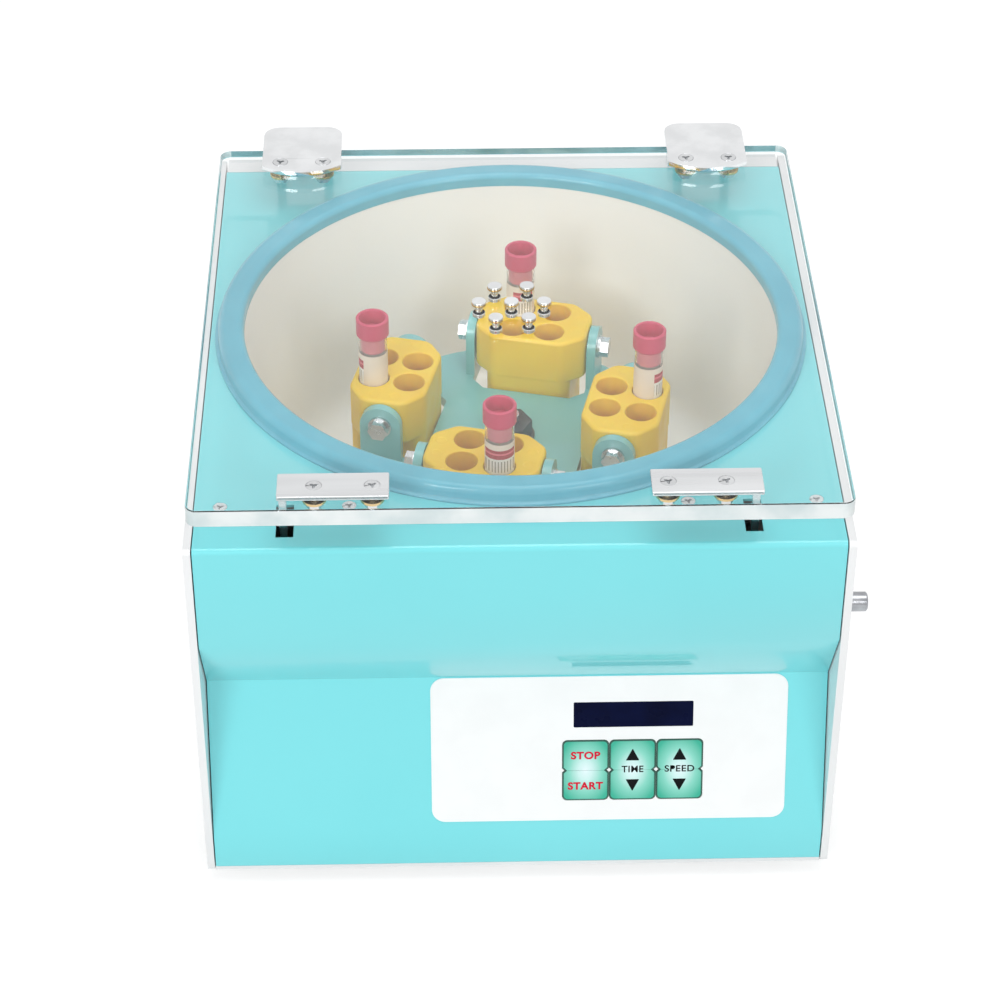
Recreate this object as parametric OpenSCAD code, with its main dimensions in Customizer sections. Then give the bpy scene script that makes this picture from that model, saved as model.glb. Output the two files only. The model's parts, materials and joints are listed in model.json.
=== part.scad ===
// Bench centrifuge with a swing-out rotor, a clear hinged lid and a sheet metal case.
// Millimetres. X runs across the front, Y runs to the back and Z runs up from the table.
// Working frame: X is 0 at the middle of the case, Y is 0 at the front face of the cover.

/* [Case] */
// Width of the coloured cover
body_w = 330; // [300:1:420]
// Depth of the cover, from its front face to the back edge of the deck
deck_d = 357.6; // [340:0.1:440]
// Height of the cover, from its lower edge to the deck
cover_h = 219; // [200:1:270]
// Thickness of the sheet metal
sheet = 1.5; // [1:0.1:2.5]
// Thickness of a side panel
cheek_t = 4; // [2:0.5:6]
// Gap between the cover and a side panel
cheek_gap = 0.6; // [0.3:0.1:1.5]
// Depth of the rear rail behind the deck
rear_rail = 14.4; // [12:0.1:30]
// Radius of the bend at the front of the deck
fold_r = 3; // [2.5:0.5:6]
// Height of the upright front, down from the deck
brow_h = 63.4; // [50:0.1:80]
// Height of the recess under the upright front
recess_h = 44.1; // [30:0.1:50]
// Depth of the recess under the upright front
recess_in = 25.7; // [15:0.1:32]
// Height of the upright strip at the foot of the cover
skirt_h = 21.1; // [10:0.1:28]
// Height of the base tray's edge that shows under the cover
tray_lip = 2.6; // [2:0.1:6]
// Height of a foot
foot_h = 10; // [6:1:20]
// Diameter of a foot
foot_d = 26; // [18:1:36]

/* [Chamber] */
// Inner radius of the bowl at its mouth
bowl_r = 147; // [130:0.5:148]
// Depth of the bowl below the deck
bowl_depth = 127; // [115:1:135]
// How much smaller the bowl's radius is at its floor
bowl_taper = 6; // [0:1:15]
// Distance of the rotor's axis behind the cover's front face
axis_y = 189.4; // [180:0.1:200]
// Height of the seal ring above the deck
ring_h = 9.5; // [7:0.5:14]
// Width of the seal ring's upper part
ring_w = 14.2; // [12:0.1:18]

/* [Rotor] */
// How far the rotor is turned clockwise, seen from above
rotor_turn = 13.7; // [0:0.1:30]
// Distance from the axis to the middle of a bucket
bucket_at = 66; // [62:0.5:72]
// Height of the rotor plate's top below the deck
plate_down = 74; // [60:0.5:85]
// Thickness of the rotor plate
plate_t = 6; // [4:0.5:10]
// Radius of the rotor plate
plate_r = 89; // [84:0.5:100]
// Height of a trunnion's axis above the rotor plate
trunnion_up = 23; // [22:0.5:30]
// Radius of the round top of an ear, and half its width
ear_r = 11.6; // [9:0.1:14]
// Thickness of an ear
ear_t = 5; // [3:0.5:8]
// Diameter of a trunnion screw
trunnion_d = 6; // [5:0.5:8]

/* [Buckets] */
// Length of a bucket's head, between its ears
head_l = 64.8; // [62:0.1:70]
// Width of a bucket, along the rotor's radius
bucket_w = 44; // [42:0.5:48]
// Width of the flat at each end of a bucket's head
head_end = 24; // [18:0.5:30]
// Length of the flat on the long sides of a bucket's head
head_flat = 40; // [30:0.5:48]
// Height of a bucket's head above its trunnion
head_up = 13; // [11:0.5:18]
// Height of a bucket's head below its trunnion
head_down = 15; // [11:0.5:18]
// Length of a bucket's lower part
trunk_l = 49; // [46:0.5:54]
// Diameter of a tube well
well_d = 17.4; // [16.6:0.1:18]
// Pitch of the wells along the rotor's radius
well_px = 20.3; // [19.5:0.1:22]
// Pitch of the wells across the radius
well_py = 21; // [19.5:0.1:24]
// Thickness of a bucket's floor
well_floor = 4; // [2:0.5:8]

/* [Tubes] */
// Outer diameter of a tube
tube_d = 15.9; // [12:0.1:16.2]
// Length of a tube
tube_l = 100; // [90:1:105]
// Depth of a tube's rim below the deck
rim_down = 8.8; // [6:0.1:12]
// Wall of a tube
tube_wall = 1; // [0.6:0.1:1.4]
// Diameter of a cap
cap_d = 18.2; // [16.5:0.1:19]
// Height of a cap above the tube's rim
cap_h = 11.3; // [8:0.1:13]
// Length of the cap's plug inside the tube
plug_l = 9.7; // [6:0.1:14]

/* [Lid] */
// Width of the lid
lid_w = 332.8; // [310:0.1:430]
// How far the lid stands in front of the cover
lid_front = 6.4; // [2:0.1:12]
// Distance from the lid's back edge to the deck's back edge
lid_back = 15.6; // [14:0.1:24]
// Thickness of the lid
lid_t = 10; // [6:0.5:12]
// Gap between the deck and the lid
lid_gap = 20; // [18:0.5:26]
// Radius of the lid's corners
lid_corner = 6; // [2:0.5:15]

/* [Hinges and latches] */
// Distance of a hinge's middle from the middle of the lid
hinge_x = 118.3; // [90:0.1:130]
// Width of a hinge leaf
leaf_w = 46; // [40:1:56]
// Thickness of a hinge leaf
leaf_t = 3; // [2:0.5:4]
// Diameter of a hinge pin
pin_d = 5; // [4:0.5:6]
// Distance of a latch strap's outer face from the middle of the lid
strap_x = 121.3; // [100:0.1:135]
// Length of a latch plate
latch_l = 56; // [48:1:64]
// Depth of a latch plate
latch_d = 20; // [16:0.5:24]
// Distance of the latch plate's front edge behind the cover's front face
latch_y = 1; // [-2:0.5:4]
// Thickness of a latch plate
latch_t = 2.5; // [2:0.5:4]
// Thickness of a latch strap
strap_t = 4; // [3:0.5:5]
// Depth of a latch strap
strap_d = 5.2; // [4:0.1:7]
// Depth of the lock bar's axis below the deck
lock_down = 53; // [45:0.5:60]
// Depth of a strap's notch below the deck
notch_down = 27; // [22:0.5:34]
// Travel of the lock bar
lock_travel = 5; // [3.5:0.5:7]
// How far the knob stands out of the side panel
knob_out = 11; // [8:0.5:18]
// Diameter of the knob
knob_d = 10.4; // [9:0.1:16]

/* [Control panel] */
// Width of the label
label_w = 190.8; // [160:0.1:200]
// Height of the label
label_h = 85.6; // [84:0.1:88]
// Distance of the label's middle to the right of the case's middle
label_x = 48.7; // [30:0.1:60]
// Thickness of the label
label_t = 0.6; // [0.3:0.1:1]
// Width of a key
key_w = 24.6; // [20:0.1:25]
// Height of a key
key_h = 17.4; // [14:0.1:18]
// Gap between two keys
key_gap = 0.7; // [0.6:0.1:2]
// Travel of a key
key_travel = 0.4; // [0.2:0.1:0.6]
// Width of the display's window
window_w = 64; // [55:0.5:66]
// Height of the display's window
window_h = 14.8; // [12:0.1:16]

/* [Hidden] */
$fn = 48;
fit = 0.05;
slip = 0.02;
clear = 0.3;

tray_z = foot_h;
cover_z = tray_z + tray_lip;
deck_z = cover_z + cover_h;
rear_y = deck_d + rear_rail;
cheek_x = body_w / 2 + cheek_gap;
side_x = cheek_x + cheek_t;
knob_end = side_x + knob_out;
origin_x = (knob_end - side_x) / 2;
inlet_proud = 2.5;
panel_head_d = 7.4;
panel_shank_d = 4;
hole_len = 12;
origin_y = (rear_y + inlet_proud - lid_front) / 2;

brow_z = deck_z - brow_h;
recess_z = brow_z - recess_h;
skirt_z = cover_z + skirt_h;
slope = atan2(recess_in, recess_z - skirt_z);
slope_l = norm([recess_in, recess_z - skirt_z]);

plate_z = deck_z - plate_down;
trunnion_z = plate_z + trunnion_up;
head_gap = 0.6;
ear_in = head_l / 2 + head_gap;
ear_out = ear_in + ear_t;
tube_rim_z = deck_z - rim_down;
tube_z = tube_rim_z - tube_l;
bucket_z = tube_z - well_floor;
bowl_floor_z = deck_z - bowl_depth;
opening_gap = 1.5;
opening_r = bowl_r + sheet + opening_gap;
flange_w = 9;
flange_r = bowl_r + flange_w;

lid_z = deck_z + lid_gap;
lid_top = lid_z + lid_t;
lid_back_y = deck_d - lid_back;
hinge_behind = 11;
hinge_y = lid_back_y + hinge_behind;
leaf_on_lid = 30.5;
leaf_over = 21.5;
leaf_front = lid_back_y - leaf_on_lid;
leaf_back = lid_back_y + leaf_over;
leaf_screw_dx = 12.4;
leaf_screw_in = 12;
leaf_screw_y = leaf_front + leaf_screw_in;
leaf_head_d = 8.6;
latch_head_d = 8.2;
latch_screws = [18.5, 47.5];
latch_screw_in = 9.5;
latch_screw_y = latch_y + latch_screw_in;
strap_y = latch_y + latch_d - strap_d;
room_front = 5.2;
room_back = 10;
room_in = 3;
room_out = 2;
slot_front = strap_y - room_front;
slot_back = strap_y + strap_d + room_back;
slot_in = strap_x - strap_t - room_in;
slot_w = strap_t + room_in + room_out;
lock_y = 18;
lock_z = deck_z - lock_down;
lock_d = 8;
notch_z = deck_z - notch_down;
notch_h = 5;
notch_deep = 2.2;
strap_tip = 5;
strap_z = notch_z - strap_tip;
deck_screw_x = [86.3, 151.8];
deck_screw_y = 30;

module placed() {
    translate([-origin_x, -origin_y, 0]) children();
}

module both_sides() {
    children();
    mirror([1, 0, 0]) children();
}

// The four corner places of a rectangle w by d about the point at.
module corners(w, d, at = [0, 0]) {
    for (sx = [-1, 1], sy = [-1, 1])
        translate([at[0] + sx * w / 2, at[1] + sy * d / 2, 0]) children();
}

module rounded_rect(w, h, r) {
    square([w - 2 * r, h], center = true);
    square([w, h - 2 * r], center = true);
    corners(w - 2 * r, h - 2 * r) circle(r);
}

module ring(ro, ri, h) {
    difference() {
        cylinder(r = ro, h = h);
        translate([0, 0, -1]) cylinder(r = ri, h = h + 2);
    }
}

module hex_prism(af, h) {
    cylinder(d = af / cos(30), h = h, $fn = 6);
}

// A countersunk screw with its flat head's face at z 0.
module flat_screw(head_d, shank_d, len) {
    sink = (head_d - shank_d) / 2;
    rotate_extrude()
        polygon([[0, -len], [shank_d / 2, -len], [shank_d / 2, -sink - 0.4],
            [head_d / 2, -0.4], [head_d / 2, 0], [0, 0]]);
}

// The sunk hole that a flat screw sits in, from z 0 down.
module flat_screw_hole(head_d, shank_d, len) {
    flat_screw(head_d + 2 * slip, shank_d + 2 * slip, len);
    translate([0, 0, -slip]) cylinder(d = head_d + 2 * slip, h = 1);
}

function arc(c, r, a0, a1, n) =
    [for (i = [0:n]) let (a = a0 + (a1 - a0) * i / n) [c[0] + r * cos(a), c[1] + r * sin(a)]];

function unit(v) = v / norm(v);
function left_of(v) = [-v[1], v[0]];
// The point of a line of sheet moved sideways by t, with the corner kept sharp.
function moved(p, i, t) = let (
    n = len(p),
    a = unit(i == 0 ? p[1] - p[0] : p[i] - p[i - 1]),
    b = unit(i == n - 1 ? p[n - 1] - p[n - 2] : p[i + 1] - p[i]),
    m = unit(left_of(a) + left_of(b)))
    p[i] + m * t / (m * left_of(a));
function strip(p, t) = concat(p, [for (i = [len(p) - 1:-1:0]) moved(p, i, t)]);

// The front lines of the cover, from the deck's back edge to the cover's lower edge.
cover_line = concat([[deck_d, deck_z]],
    arc([fold_r, deck_z - fold_r], fold_r, 90, 180, 6),
    [[0, brow_z], [recess_in, recess_z], [0, skirt_z], [0, cover_z]]);

// Local frame of the sloping panel: x across, -y out of the panel, z up the slope.
module on_panel() {
    translate([0, 0, skirt_z]) rotate([-slope, 0, 0]) children();
}

// An upright slab on the panel: centre x, centre s, width, height, from y0 to y1.
module panel_slab(x, s, w, h, r, y0, y1) {
    translate([x, y1, s]) rotate([90, 0, 0]) linear_extrude(y1 - y0) rounded_rect(w, h, r);
}

label_top_gap = 0.6;
label_r = 7.4;
label_s = slope_l - label_top_gap - label_h / 2;
key_x0 = 36.2;
key_pitch = key_w + key_gap;
key_s = 38.1;
window_x = 61.7;
window_s = 71;
keys_w = 3 * key_w + 2 * key_gap;
keys_h = 2 * key_h + key_gap;
key_r = 2.4;
key_front = 1.1;
key_back = 1.2;

function key_at(i) = [key_x0 + floor(i / 2) * key_pitch,
    key_s + (i % 2 == 0 ? 1 : -1) * (key_h + key_gap) / 2];

module slot_cut() {
    translate([slot_in, slot_front, -1]) cube([slot_w, slot_back - slot_front, 4 + sheet]);
}

module top_cover() {
    color([0.55, 0.9, 0.94]) placed() difference() {
        translate([-body_w / 2, 0, 0]) rotate([90, 0, 90])
            linear_extrude(body_w) polygon(strip(cover_line, sheet));
        translate([0, axis_y, deck_z - 20]) cylinder(r = opening_r, h = 30, $fn = 96);
        translate([0, 0, deck_z - sheet]) both_sides() slot_cut();
        for (x = deck_screw_x) both_sides()
            translate([x, deck_screw_y, deck_z])
                flat_screw_hole(panel_head_d, panel_shank_d, hole_len);
        on_panel() {
            panel_slab(window_x, window_s, window_w + 1, window_h + 1, 1, -1, 4);
            panel_slab(key_x0 + key_pitch, key_s, keys_w + 1, keys_h + 1, 2, -1, 4);
        }
    }
}

cheek_front = -1;
cheek_up = 0.4;
cheek_r = 3;
knob_gap = 0.4;
case_screw_y = [40, 190, 340];
case_screw_z = tray_z + 16;

module side_panel() {
    h = deck_z + cheek_up - tray_z;
    difference() {
        translate([cheek_x, (rear_y + cheek_front) / 2, tray_z + h / 2]) rotate([90, 0, 90])
            linear_extrude(cheek_t) rounded_rect(rear_y - cheek_front, h, cheek_r);
        for (y = case_screw_y) translate([side_x, y, case_screw_z]) rotate([0, 90, 0])
            flat_screw_hole(panel_head_d, panel_shank_d, hole_len);
    }
}
module side_panel_left() {
    color([0.96, 0.96, 0.96]) placed() mirror([1, 0, 0]) side_panel();
}
module side_panel_right() {
    color([0.96, 0.96, 0.96]) placed() difference() {
        side_panel();
        translate([cheek_x - 5, lock_y, lock_z]) rotate([0, 90, 0])
            cylinder(d = knob_d + 2 * knob_gap, h = 20);
    }
}
module case_screws() {
    color([0.75, 0.76, 0.78]) placed() both_sides()
        for (y = case_screw_y) translate([side_x, y, case_screw_z]) rotate([0, 90, 0])
            flat_screw(panel_head_d, panel_shank_d, cheek_t + cheek_gap + 4);
}

inlet_x = -110;
inlet_z = 70;
inlet_w = 27;
inlet_h = 20;
switch_x = -68;
switch_w = 19;
switch_h = 27;
rocker_in = 3.4;
vent_n = 8;
vent_w = 50;
vent_h = 4;
vent_x = [20, 82];
vent_z = 50;
vent_pitch = 9;
rear_gap = 0.4;
rear_turn = 12;
rear_foot = 3;
bracket_bolt_d = 3;

module rear_panel() {
    w = body_w - 1;
    color([0.96, 0.96, 0.96]) placed() difference() {
        union() {
            translate([-w / 2, rear_y - sheet, tray_z + rear_foot])
                cube([w, sheet, deck_z - tray_z - rear_foot]);
            translate([-w / 2, deck_d + rear_gap, deck_z - sheet])
                cube([w, rear_rail - rear_gap, sheet]);
            translate([-w / 2, deck_d + rear_gap, deck_z - rear_turn]) cube([w, sheet, rear_turn]);
        }
        both_sides() for (dx = [-1, 1])
            translate([hinge_x + dx * bracket_screw_dx, bracket_screw_y, deck_z - 5])
                cylinder(d = bracket_bolt_d + 2 * slip, h = 10);
        translate([inlet_x, rear_y + 1, inlet_z]) rotate([90, 0, 0])
            linear_extrude(10) rounded_rect(inlet_w, inlet_h, 1);
        translate([switch_x, rear_y + 1, inlet_z]) rotate([90, 0, 0])
            linear_extrude(10) rounded_rect(switch_w, switch_h, 1);
        for (i = [0:vent_n - 1], x = vent_x)
            translate([x, rear_y + 1, vent_z + i * vent_pitch]) rotate([90, 0, 0])
                linear_extrude(10) rounded_rect(vent_w, vent_h, vent_h / 2 - 0.1);
    }
}

tray_in = 0.2;
tray_front_h = 16;
tray_side_h = 24;
tray_side_t = 3;
tray_side_y = 8;
tray_back_h = 30;
tray_end = 4;
foot_bolt_d = 4;
foot_bolt_head = 7.6;
foot_in_x = 30;
foot_in_y = 42;

module base_tray() {
    w = 2 * (cheek_x - tray_in);
    d = rear_y - sheet - tray_in;
    color([0.96, 0.96, 0.96]) placed() difference() {
        union() {
            translate([-w / 2, 0, tray_z]) cube([w, d, sheet]);
            translate([-w / 2, 0, tray_z]) cube([w, sheet, tray_lip - tray_in]);
            translate([-body_w / 2 + tray_end, sheet + tray_in, tray_z])
                cube([body_w - 2 * tray_end, sheet, tray_front_h]);
            translate([-w / 2, d - sheet, tray_z]) cube([w, sheet, tray_back_h]);
            both_sides() translate([w / 2 - tray_side_t, tray_side_y, tray_z])
                cube([tray_side_t, d - tray_side_y, tray_side_h]);
        }
        for (y = case_screw_y) both_sides() translate([side_x, y, case_screw_z])
            rotate([0, 90, 0]) flat_screw_hole(panel_head_d, panel_shank_d, hole_len);
        corners(foot_w, foot_l, foot_mid) translate([0, 0, tray_z - 1])
            cylinder(d = foot_bolt_d + 2 * slip, h = 6);
    }
}

foot_w = body_w - 2 * foot_in_x;
foot_l = rear_y - 2 * foot_in_y;
foot_mid = [0, rear_y / 2];

module feet() {
    color([0.12, 0.12, 0.13]) placed() corners(foot_w, foot_l, foot_mid) difference() {
        rotate_extrude() polygon([[0, 0], [foot_d / 2 - 3, 0], [foot_d / 2 - 2, 0.4],
            [foot_d / 2, foot_h], [0, foot_h]]);
        translate([0, 0, -1]) cylinder(d = foot_bolt_head + 0.8, h = 4.5);
        cylinder(d = foot_bolt_d + 2 * slip, h = 20);
    }
}
module foot_screws() {
    color([0.75, 0.76, 0.78]) placed() corners(foot_w, foot_l, foot_mid) {
        translate([0, 0, 1.5]) cylinder(d = foot_bolt_head, h = 2);
        translate([0, 0, 3]) cylinder(d = foot_bolt_d, h = foot_h + 1);
    }
}
module deck_screws() {
    color([0.78, 0.79, 0.8]) placed() for (x = deck_screw_x) both_sides()
        translate([x, deck_screw_y, deck_z]) flat_screw(panel_head_d, panel_shank_d, sheet + 5);
}

module bowl() {
    ri = bowl_r;
    rf = bowl_r - bowl_taper;
    fillet = 18;
    inner = concat([[ri, deck_z + sheet]],
        arc([rf - fillet, bowl_floor_z + fillet], fillet, 0, -90, 6), [[hub_hole, bowl_floor_z]]);
    outer = concat([[hub_hole, bowl_floor_z - sheet]],
        arc([rf - fillet, bowl_floor_z + fillet], fillet + sheet, -90, 0, 6),
        [[ri + sheet, deck_z], [flange_r, deck_z], [flange_r, deck_z + sheet]]);
    color([0.95, 0.94, 0.92]) placed() translate([0, axis_y, 0])
        rotate_extrude($fn = 96) polygon(concat(inner, outer));
}
hub_hole = 9;

ring_in = bowl_r - 0.4;
ring_out = ring_in + ring_w;
ring_foot = 1.8;
ring_edge = 3.6;

module seal_ring() {
    z = deck_z;
    r = ring_edge;
    color([0.39, 0.73, 0.8]) placed() translate([0, axis_y, 0]) rotate_extrude($fn = 96)
        polygon(concat([[flange_r + 0.2, z], [ring_out + ring_foot, z], [ring_out + ring_foot, z + 1.4],
            [ring_out, z + 2.2]],
            arc([ring_out - r, z + ring_h - r], r, 0, 90, 5),
            arc([ring_in + r, z + ring_h - r], r, 90, 180, 5),
            [[ring_in, z + sheet + 0.1], [flange_r + 0.2, z + sheet + 0.1]]));
}

module control_label() {
    color([0.97, 0.97, 0.97]) placed() on_panel() difference() {
        panel_slab(label_x, label_s, label_w, label_h, label_r, -label_t, 0);
        panel_slab(window_x, window_s, window_w + 0.1, window_h + 0.1, 0.6, -2, 1);
        for (i = [0:5]) panel_slab(key_at(i)[0], key_at(i)[1], key_w + 0.3, key_h + 0.3,
            key_r + 0.15, -2, 1);
    }
}
module display_window() {
    color([0.05, 0.08, 0.25, 0.8]) placed() on_panel()
        panel_slab(window_x, window_s, window_w, window_h, 0.55, -label_t + 0.1, sheet);
}

// The display's bezel and board, and four posts that stand clear of the keys below.
bezel_w = window_w + 7;
bezel_h = window_h + 9.2;
bezel_t = 6;
module_w = bezel_w + 9;
module_h = bezel_h + 9;
board_t = 1.6;
post_d = 3;
post_z = window_s - (key_s + keys_h / 2 + clear) - post_d / 2;
module display_module() {
    color([0.1, 0.35, 0.2]) placed() on_panel() union() {
        panel_slab(window_x, window_s, bezel_w, bezel_h, 0.5, sheet + fit, sheet + bezel_t);
        panel_slab(window_x, window_s, module_w, module_h, 0.5, sheet + bezel_t,
            sheet + bezel_t + board_t);
        translate([window_x, 0, window_s]) for (sx = [-1, 1], sz = [-1, 1])
            translate([sx * (bezel_w / 2 + 2), sheet + bezel_t + 1, sz * post_z]) rotate([90, 0, 0])
                cylinder(d = post_d, h = bezel_t + 1 - fit);
    }
}
board_w = keys_w + 16.8;
board_h = 40;
board_s = 34;
board_gap = 4.5;
board_post_in = 3;
stem_d = 5;
module control_board() {
    y0 = sheet + board_gap;
    color([0.1, 0.4, 0.22]) placed() on_panel() union() {
        panel_slab(key_x0 + key_pitch, board_s, board_w, board_h, 1, y0, y0 + board_t);
        for (i = [0:5]) translate([key_at(i)[0], y0 + 1, key_at(i)[1]]) rotate([90, 0, 0])
            cylinder(d = stem_d, h = y0 + 1 - key_back - key_travel - fit);
        translate([key_x0 + key_pitch, y0 + 1, board_s]) for (sx = [-1, 1], sz = [-1, 1])
            translate([sx * (board_w / 2 - board_post_in), 0, sz * (board_h / 2 - board_post_in)])
                rotate([90, 0, 0]) cylinder(d = post_d, h = y0 + 1 - sheet - fit);
    }
}

// A membrane key: a raised pad with a soft edge and a stem behind it.
module key(i) {
    at = key_at(i);
    placed() on_panel() union() {
        panel_slab(at[0], at[1], key_w, key_h, key_r, -key_front + 0.3, key_back);
        panel_slab(at[0], at[1], key_w - 1, key_h - 1, key_r - 0.5, -key_front, 0);
    }
}
key_green = [0.35, 0.75, 0.55];
module key_stop() {
    color(key_green) key(0);
}
module key_start() {
    color(key_green) key(1);
}
module key_time_up() {
    color(key_green) key(2);
}
module key_time_down() {
    color(key_green) key(3);
}
module key_speed_up() {
    color(key_green) key(4);
}
module key_speed_down() {
    color(key_green) key(5);
}

motor_d = 110;
motor_z = tray_z + sheet + 26;
motor_h = 60;
shaft_d = 10;
bearing_d = 26;
bearing_h = 8;
damper_w = 130;
damper_d = 24;
motor_plate_t = 4;
motor_wall = 7;
core_d = 70;

module motor_dampers() {
    color([0.1, 0.1, 0.1]) placed() corners(damper_w, damper_w, [0, axis_y])
        translate([0, 0, tray_z + sheet]) cylinder(d = damper_d, h = motor_z - motor_plate_t - tray_z - sheet);
}
module motor_plate() {
    color([0.6, 0.62, 0.64]) placed() translate([0, axis_y, motor_z - motor_plate_t])
        linear_extrude(motor_plate_t) rounded_rect(damper_w + 30, damper_w + 30, 15);
}
module motor_body() {
    color([0.5, 0.52, 0.55]) placed() translate([0, axis_y, motor_z]) difference() {
        cylinder(d = motor_d, h = motor_h);
        translate([0, 0, bearing_h + 2])
            cylinder(d = motor_d - 2 * motor_wall, h = motor_h - 2 * bearing_h - 4);
        translate([0, 0, 2]) cylinder(d = bearing_d + 2 * slip, h = bearing_h + 1);
        translate([0, 0, motor_h - bearing_h - 2.5])
            cylinder(d = bearing_d + 2 * slip, h = bearing_h + 0.5);
        translate([0, 0, motor_h - 3]) cylinder(d = shaft_d + 4, h = 4);
    }
}
module motor_bearings() {
    color([0.8, 0.81, 0.83]) placed() translate([0, axis_y, motor_z])
        for (z = [2 + slip, motor_h - bearing_h - 2 - slip]) translate([0, 0, z])
            ring(bearing_d / 2, shaft_d / 2 + fit, bearing_h - slip);
}
module motor_shaft() {
    core_z = motor_z + bearing_h + 6;
    core_h = motor_h - 2 * bearing_h - 12;
    color([0.7, 0.71, 0.73]) placed() translate([0, axis_y, 0]) union() {
        translate([0, 0, motor_z + 2.5]) cylinder(d = shaft_d, h = plate_z + 13 - motor_z);
        translate([0, 0, core_z]) cylinder(d = core_d, h = core_h);
    }
}
drive_w = 60;
drive_l = 90;
drive_x = -body_w / 2 + 15;
drive_y = rear_y - 122;
drive_up = 6;
module motor_drive() {
    z = tray_z + sheet;
    color([0.12, 0.38, 0.22]) placed() translate([drive_x, drive_y, z]) union() {
        translate([0, 0, drive_up]) cube([drive_w, drive_l, board_t]);
        translate([5, 12, drive_up + 1]) cube([22, 40, 24]);
        for (y = [40, 65]) translate([35, y, drive_up + 1]) cylinder(d = 18, h = 26);
        corners(drive_w - 8, drive_l - 10, [drive_w / 2, drive_l / 2])
            cylinder(d = 5, h = drive_up + 0.5);
    }
}

// Buckets are numbered clockwise from the back one. Local frame: x out along the radius.
module at_bucket(i) {
    translate([0, axis_y, 0]) rotate([0, 0, 90 - rotor_turn - i * 90]) translate([bucket_at, 0, 0])
        children();
}
notch_in = bucket_w / 2 + 0.9;
ear_room = 4;
boss_d = 34;
boss_h = 30;

module rotor_head() {
    ear_h = trunnion_z - plate_z;
    color([0.55, 0.79, 0.77]) placed() difference() {
        union() {
            difference() {
                translate([0, axis_y, plate_z - plate_t]) cylinder(r = plate_r, h = plate_t, $fn = 96);
                for (i = [0:3]) at_bucket(i) translate([0, 0, plate_z - plate_t - 1])
                    linear_extrude(plate_t + 2)
                        polygon([[-notch_in, -trunk_l / 2 - 1], [-notch_in, trunk_l / 2 + 1],
                            [-ear_r - ear_room, ear_in], [plate_r, ear_in],
                            [plate_r, -ear_in],
                            [-ear_r - ear_room, -ear_in]]);
            }
            translate([0, axis_y, plate_z - boss_h - 2]) cylinder(d = boss_d, h = boss_h);
            for (i = [0:3], s = [-1, 1]) at_bucket(i)
                translate([0, s * (ear_in + ear_t / 2), 0]) {
                    translate([0, ear_t / 2, trunnion_z]) rotate([90, 0, 0])
                        cylinder(r = ear_r, h = ear_t);
                    translate([-ear_r, -ear_t / 2, plate_z - plate_t])
                        cube([2 * ear_r, ear_t, ear_h + plate_t]);
                }
        }
        translate([0, axis_y, 0]) cylinder(r = shaft_d / 2 + slip, h = deck_z);
        for (i = [0:3]) at_bucket(i) translate([0, ear_out + 5, trunnion_z]) rotate([90, 0, 0])
            cylinder(r = trunnion_d / 2 + slip, h = 2 * ear_out + 10);
    }
}
nut_af = 22;
nut_h = 11;
module hub_nut() {
    color([0.2, 0.24, 0.24]) placed() translate([0, axis_y, plate_z + 0.02]) difference() {
        union() {
            cylinder(d = nut_af + 6, h = 2);
            translate([0, 0, 1]) hex_prism(nut_af, nut_h - 1);
        }
        translate([0, 0, -1]) cylinder(r = shaft_d / 2 + slip, h = nut_h + 2);
    }
}
trunnion_in = 9;
washer_t = 1.6;
bolt_head = 5;
bolt_af = 10;
bolt_washer_d = 13;
module trunnion_bolts() {
    color([0.72, 0.74, 0.75]) placed() for (i = [0:3], s = [0, 180])
        at_bucket(i) translate([0, 0, trunnion_z]) rotate([0, 0, s])
            translate([0, ear_out + slip, 0]) rotate([90, 0, 0]) {
                translate([0, 0, -washer_t]) cylinder(d = bolt_washer_d, h = washer_t);
                translate([0, 0, 0.4 - washer_t - bolt_head]) hex_prism(bolt_af, bolt_head);
                cylinder(d = trunnion_d, h = ear_t + head_gap + trunnion_in);
            }
}

trunk_chamfer = 4.5;
head_z0 = trunnion_z - head_down;
head_z1 = trunnion_z + head_up;
function octagon(w, l, end, flat) = [[-w / 2, -flat / 2], [-end / 2, -l / 2], [end / 2, -l / 2],
    [w / 2, -flat / 2], [w / 2, flat / 2], [end / 2, l / 2], [-end / 2, l / 2], [-w / 2, flat / 2]];

module bucket(i) {
    color([0.95, 0.83, 0.3]) placed() at_bucket(i) difference() {
        union() {
            translate([0, 0, head_z0]) linear_extrude(head_z1 - head_z0)
                polygon(octagon(bucket_w, head_l, head_end, head_flat));
            translate([0, 0, bucket_z]) linear_extrude(head_z0 - bucket_z + 1)
                polygon(octagon(bucket_w - 1, trunk_l, bucket_w - 1 - 2 * trunk_chamfer,
                    trunk_l - 8));
        }
        corners(well_px, well_py) translate([0, 0, tube_z]) cylinder(d = well_d, h = 200);
        for (s = [-1, 1]) translate([0, s * (head_l / 2 + 1), trunnion_z]) rotate([s * 90, 0, 0])
            cylinder(r = trunnion_d / 2 + fit, h = trunnion_in + 1.6);
    }
}
module bucket_back() {
    bucket(0);
}
module bucket_right() {
    bucket(1);
}
module bucket_front() {
    bucket(2);
}
module bucket_left() {
    bucket(3);
}

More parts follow.
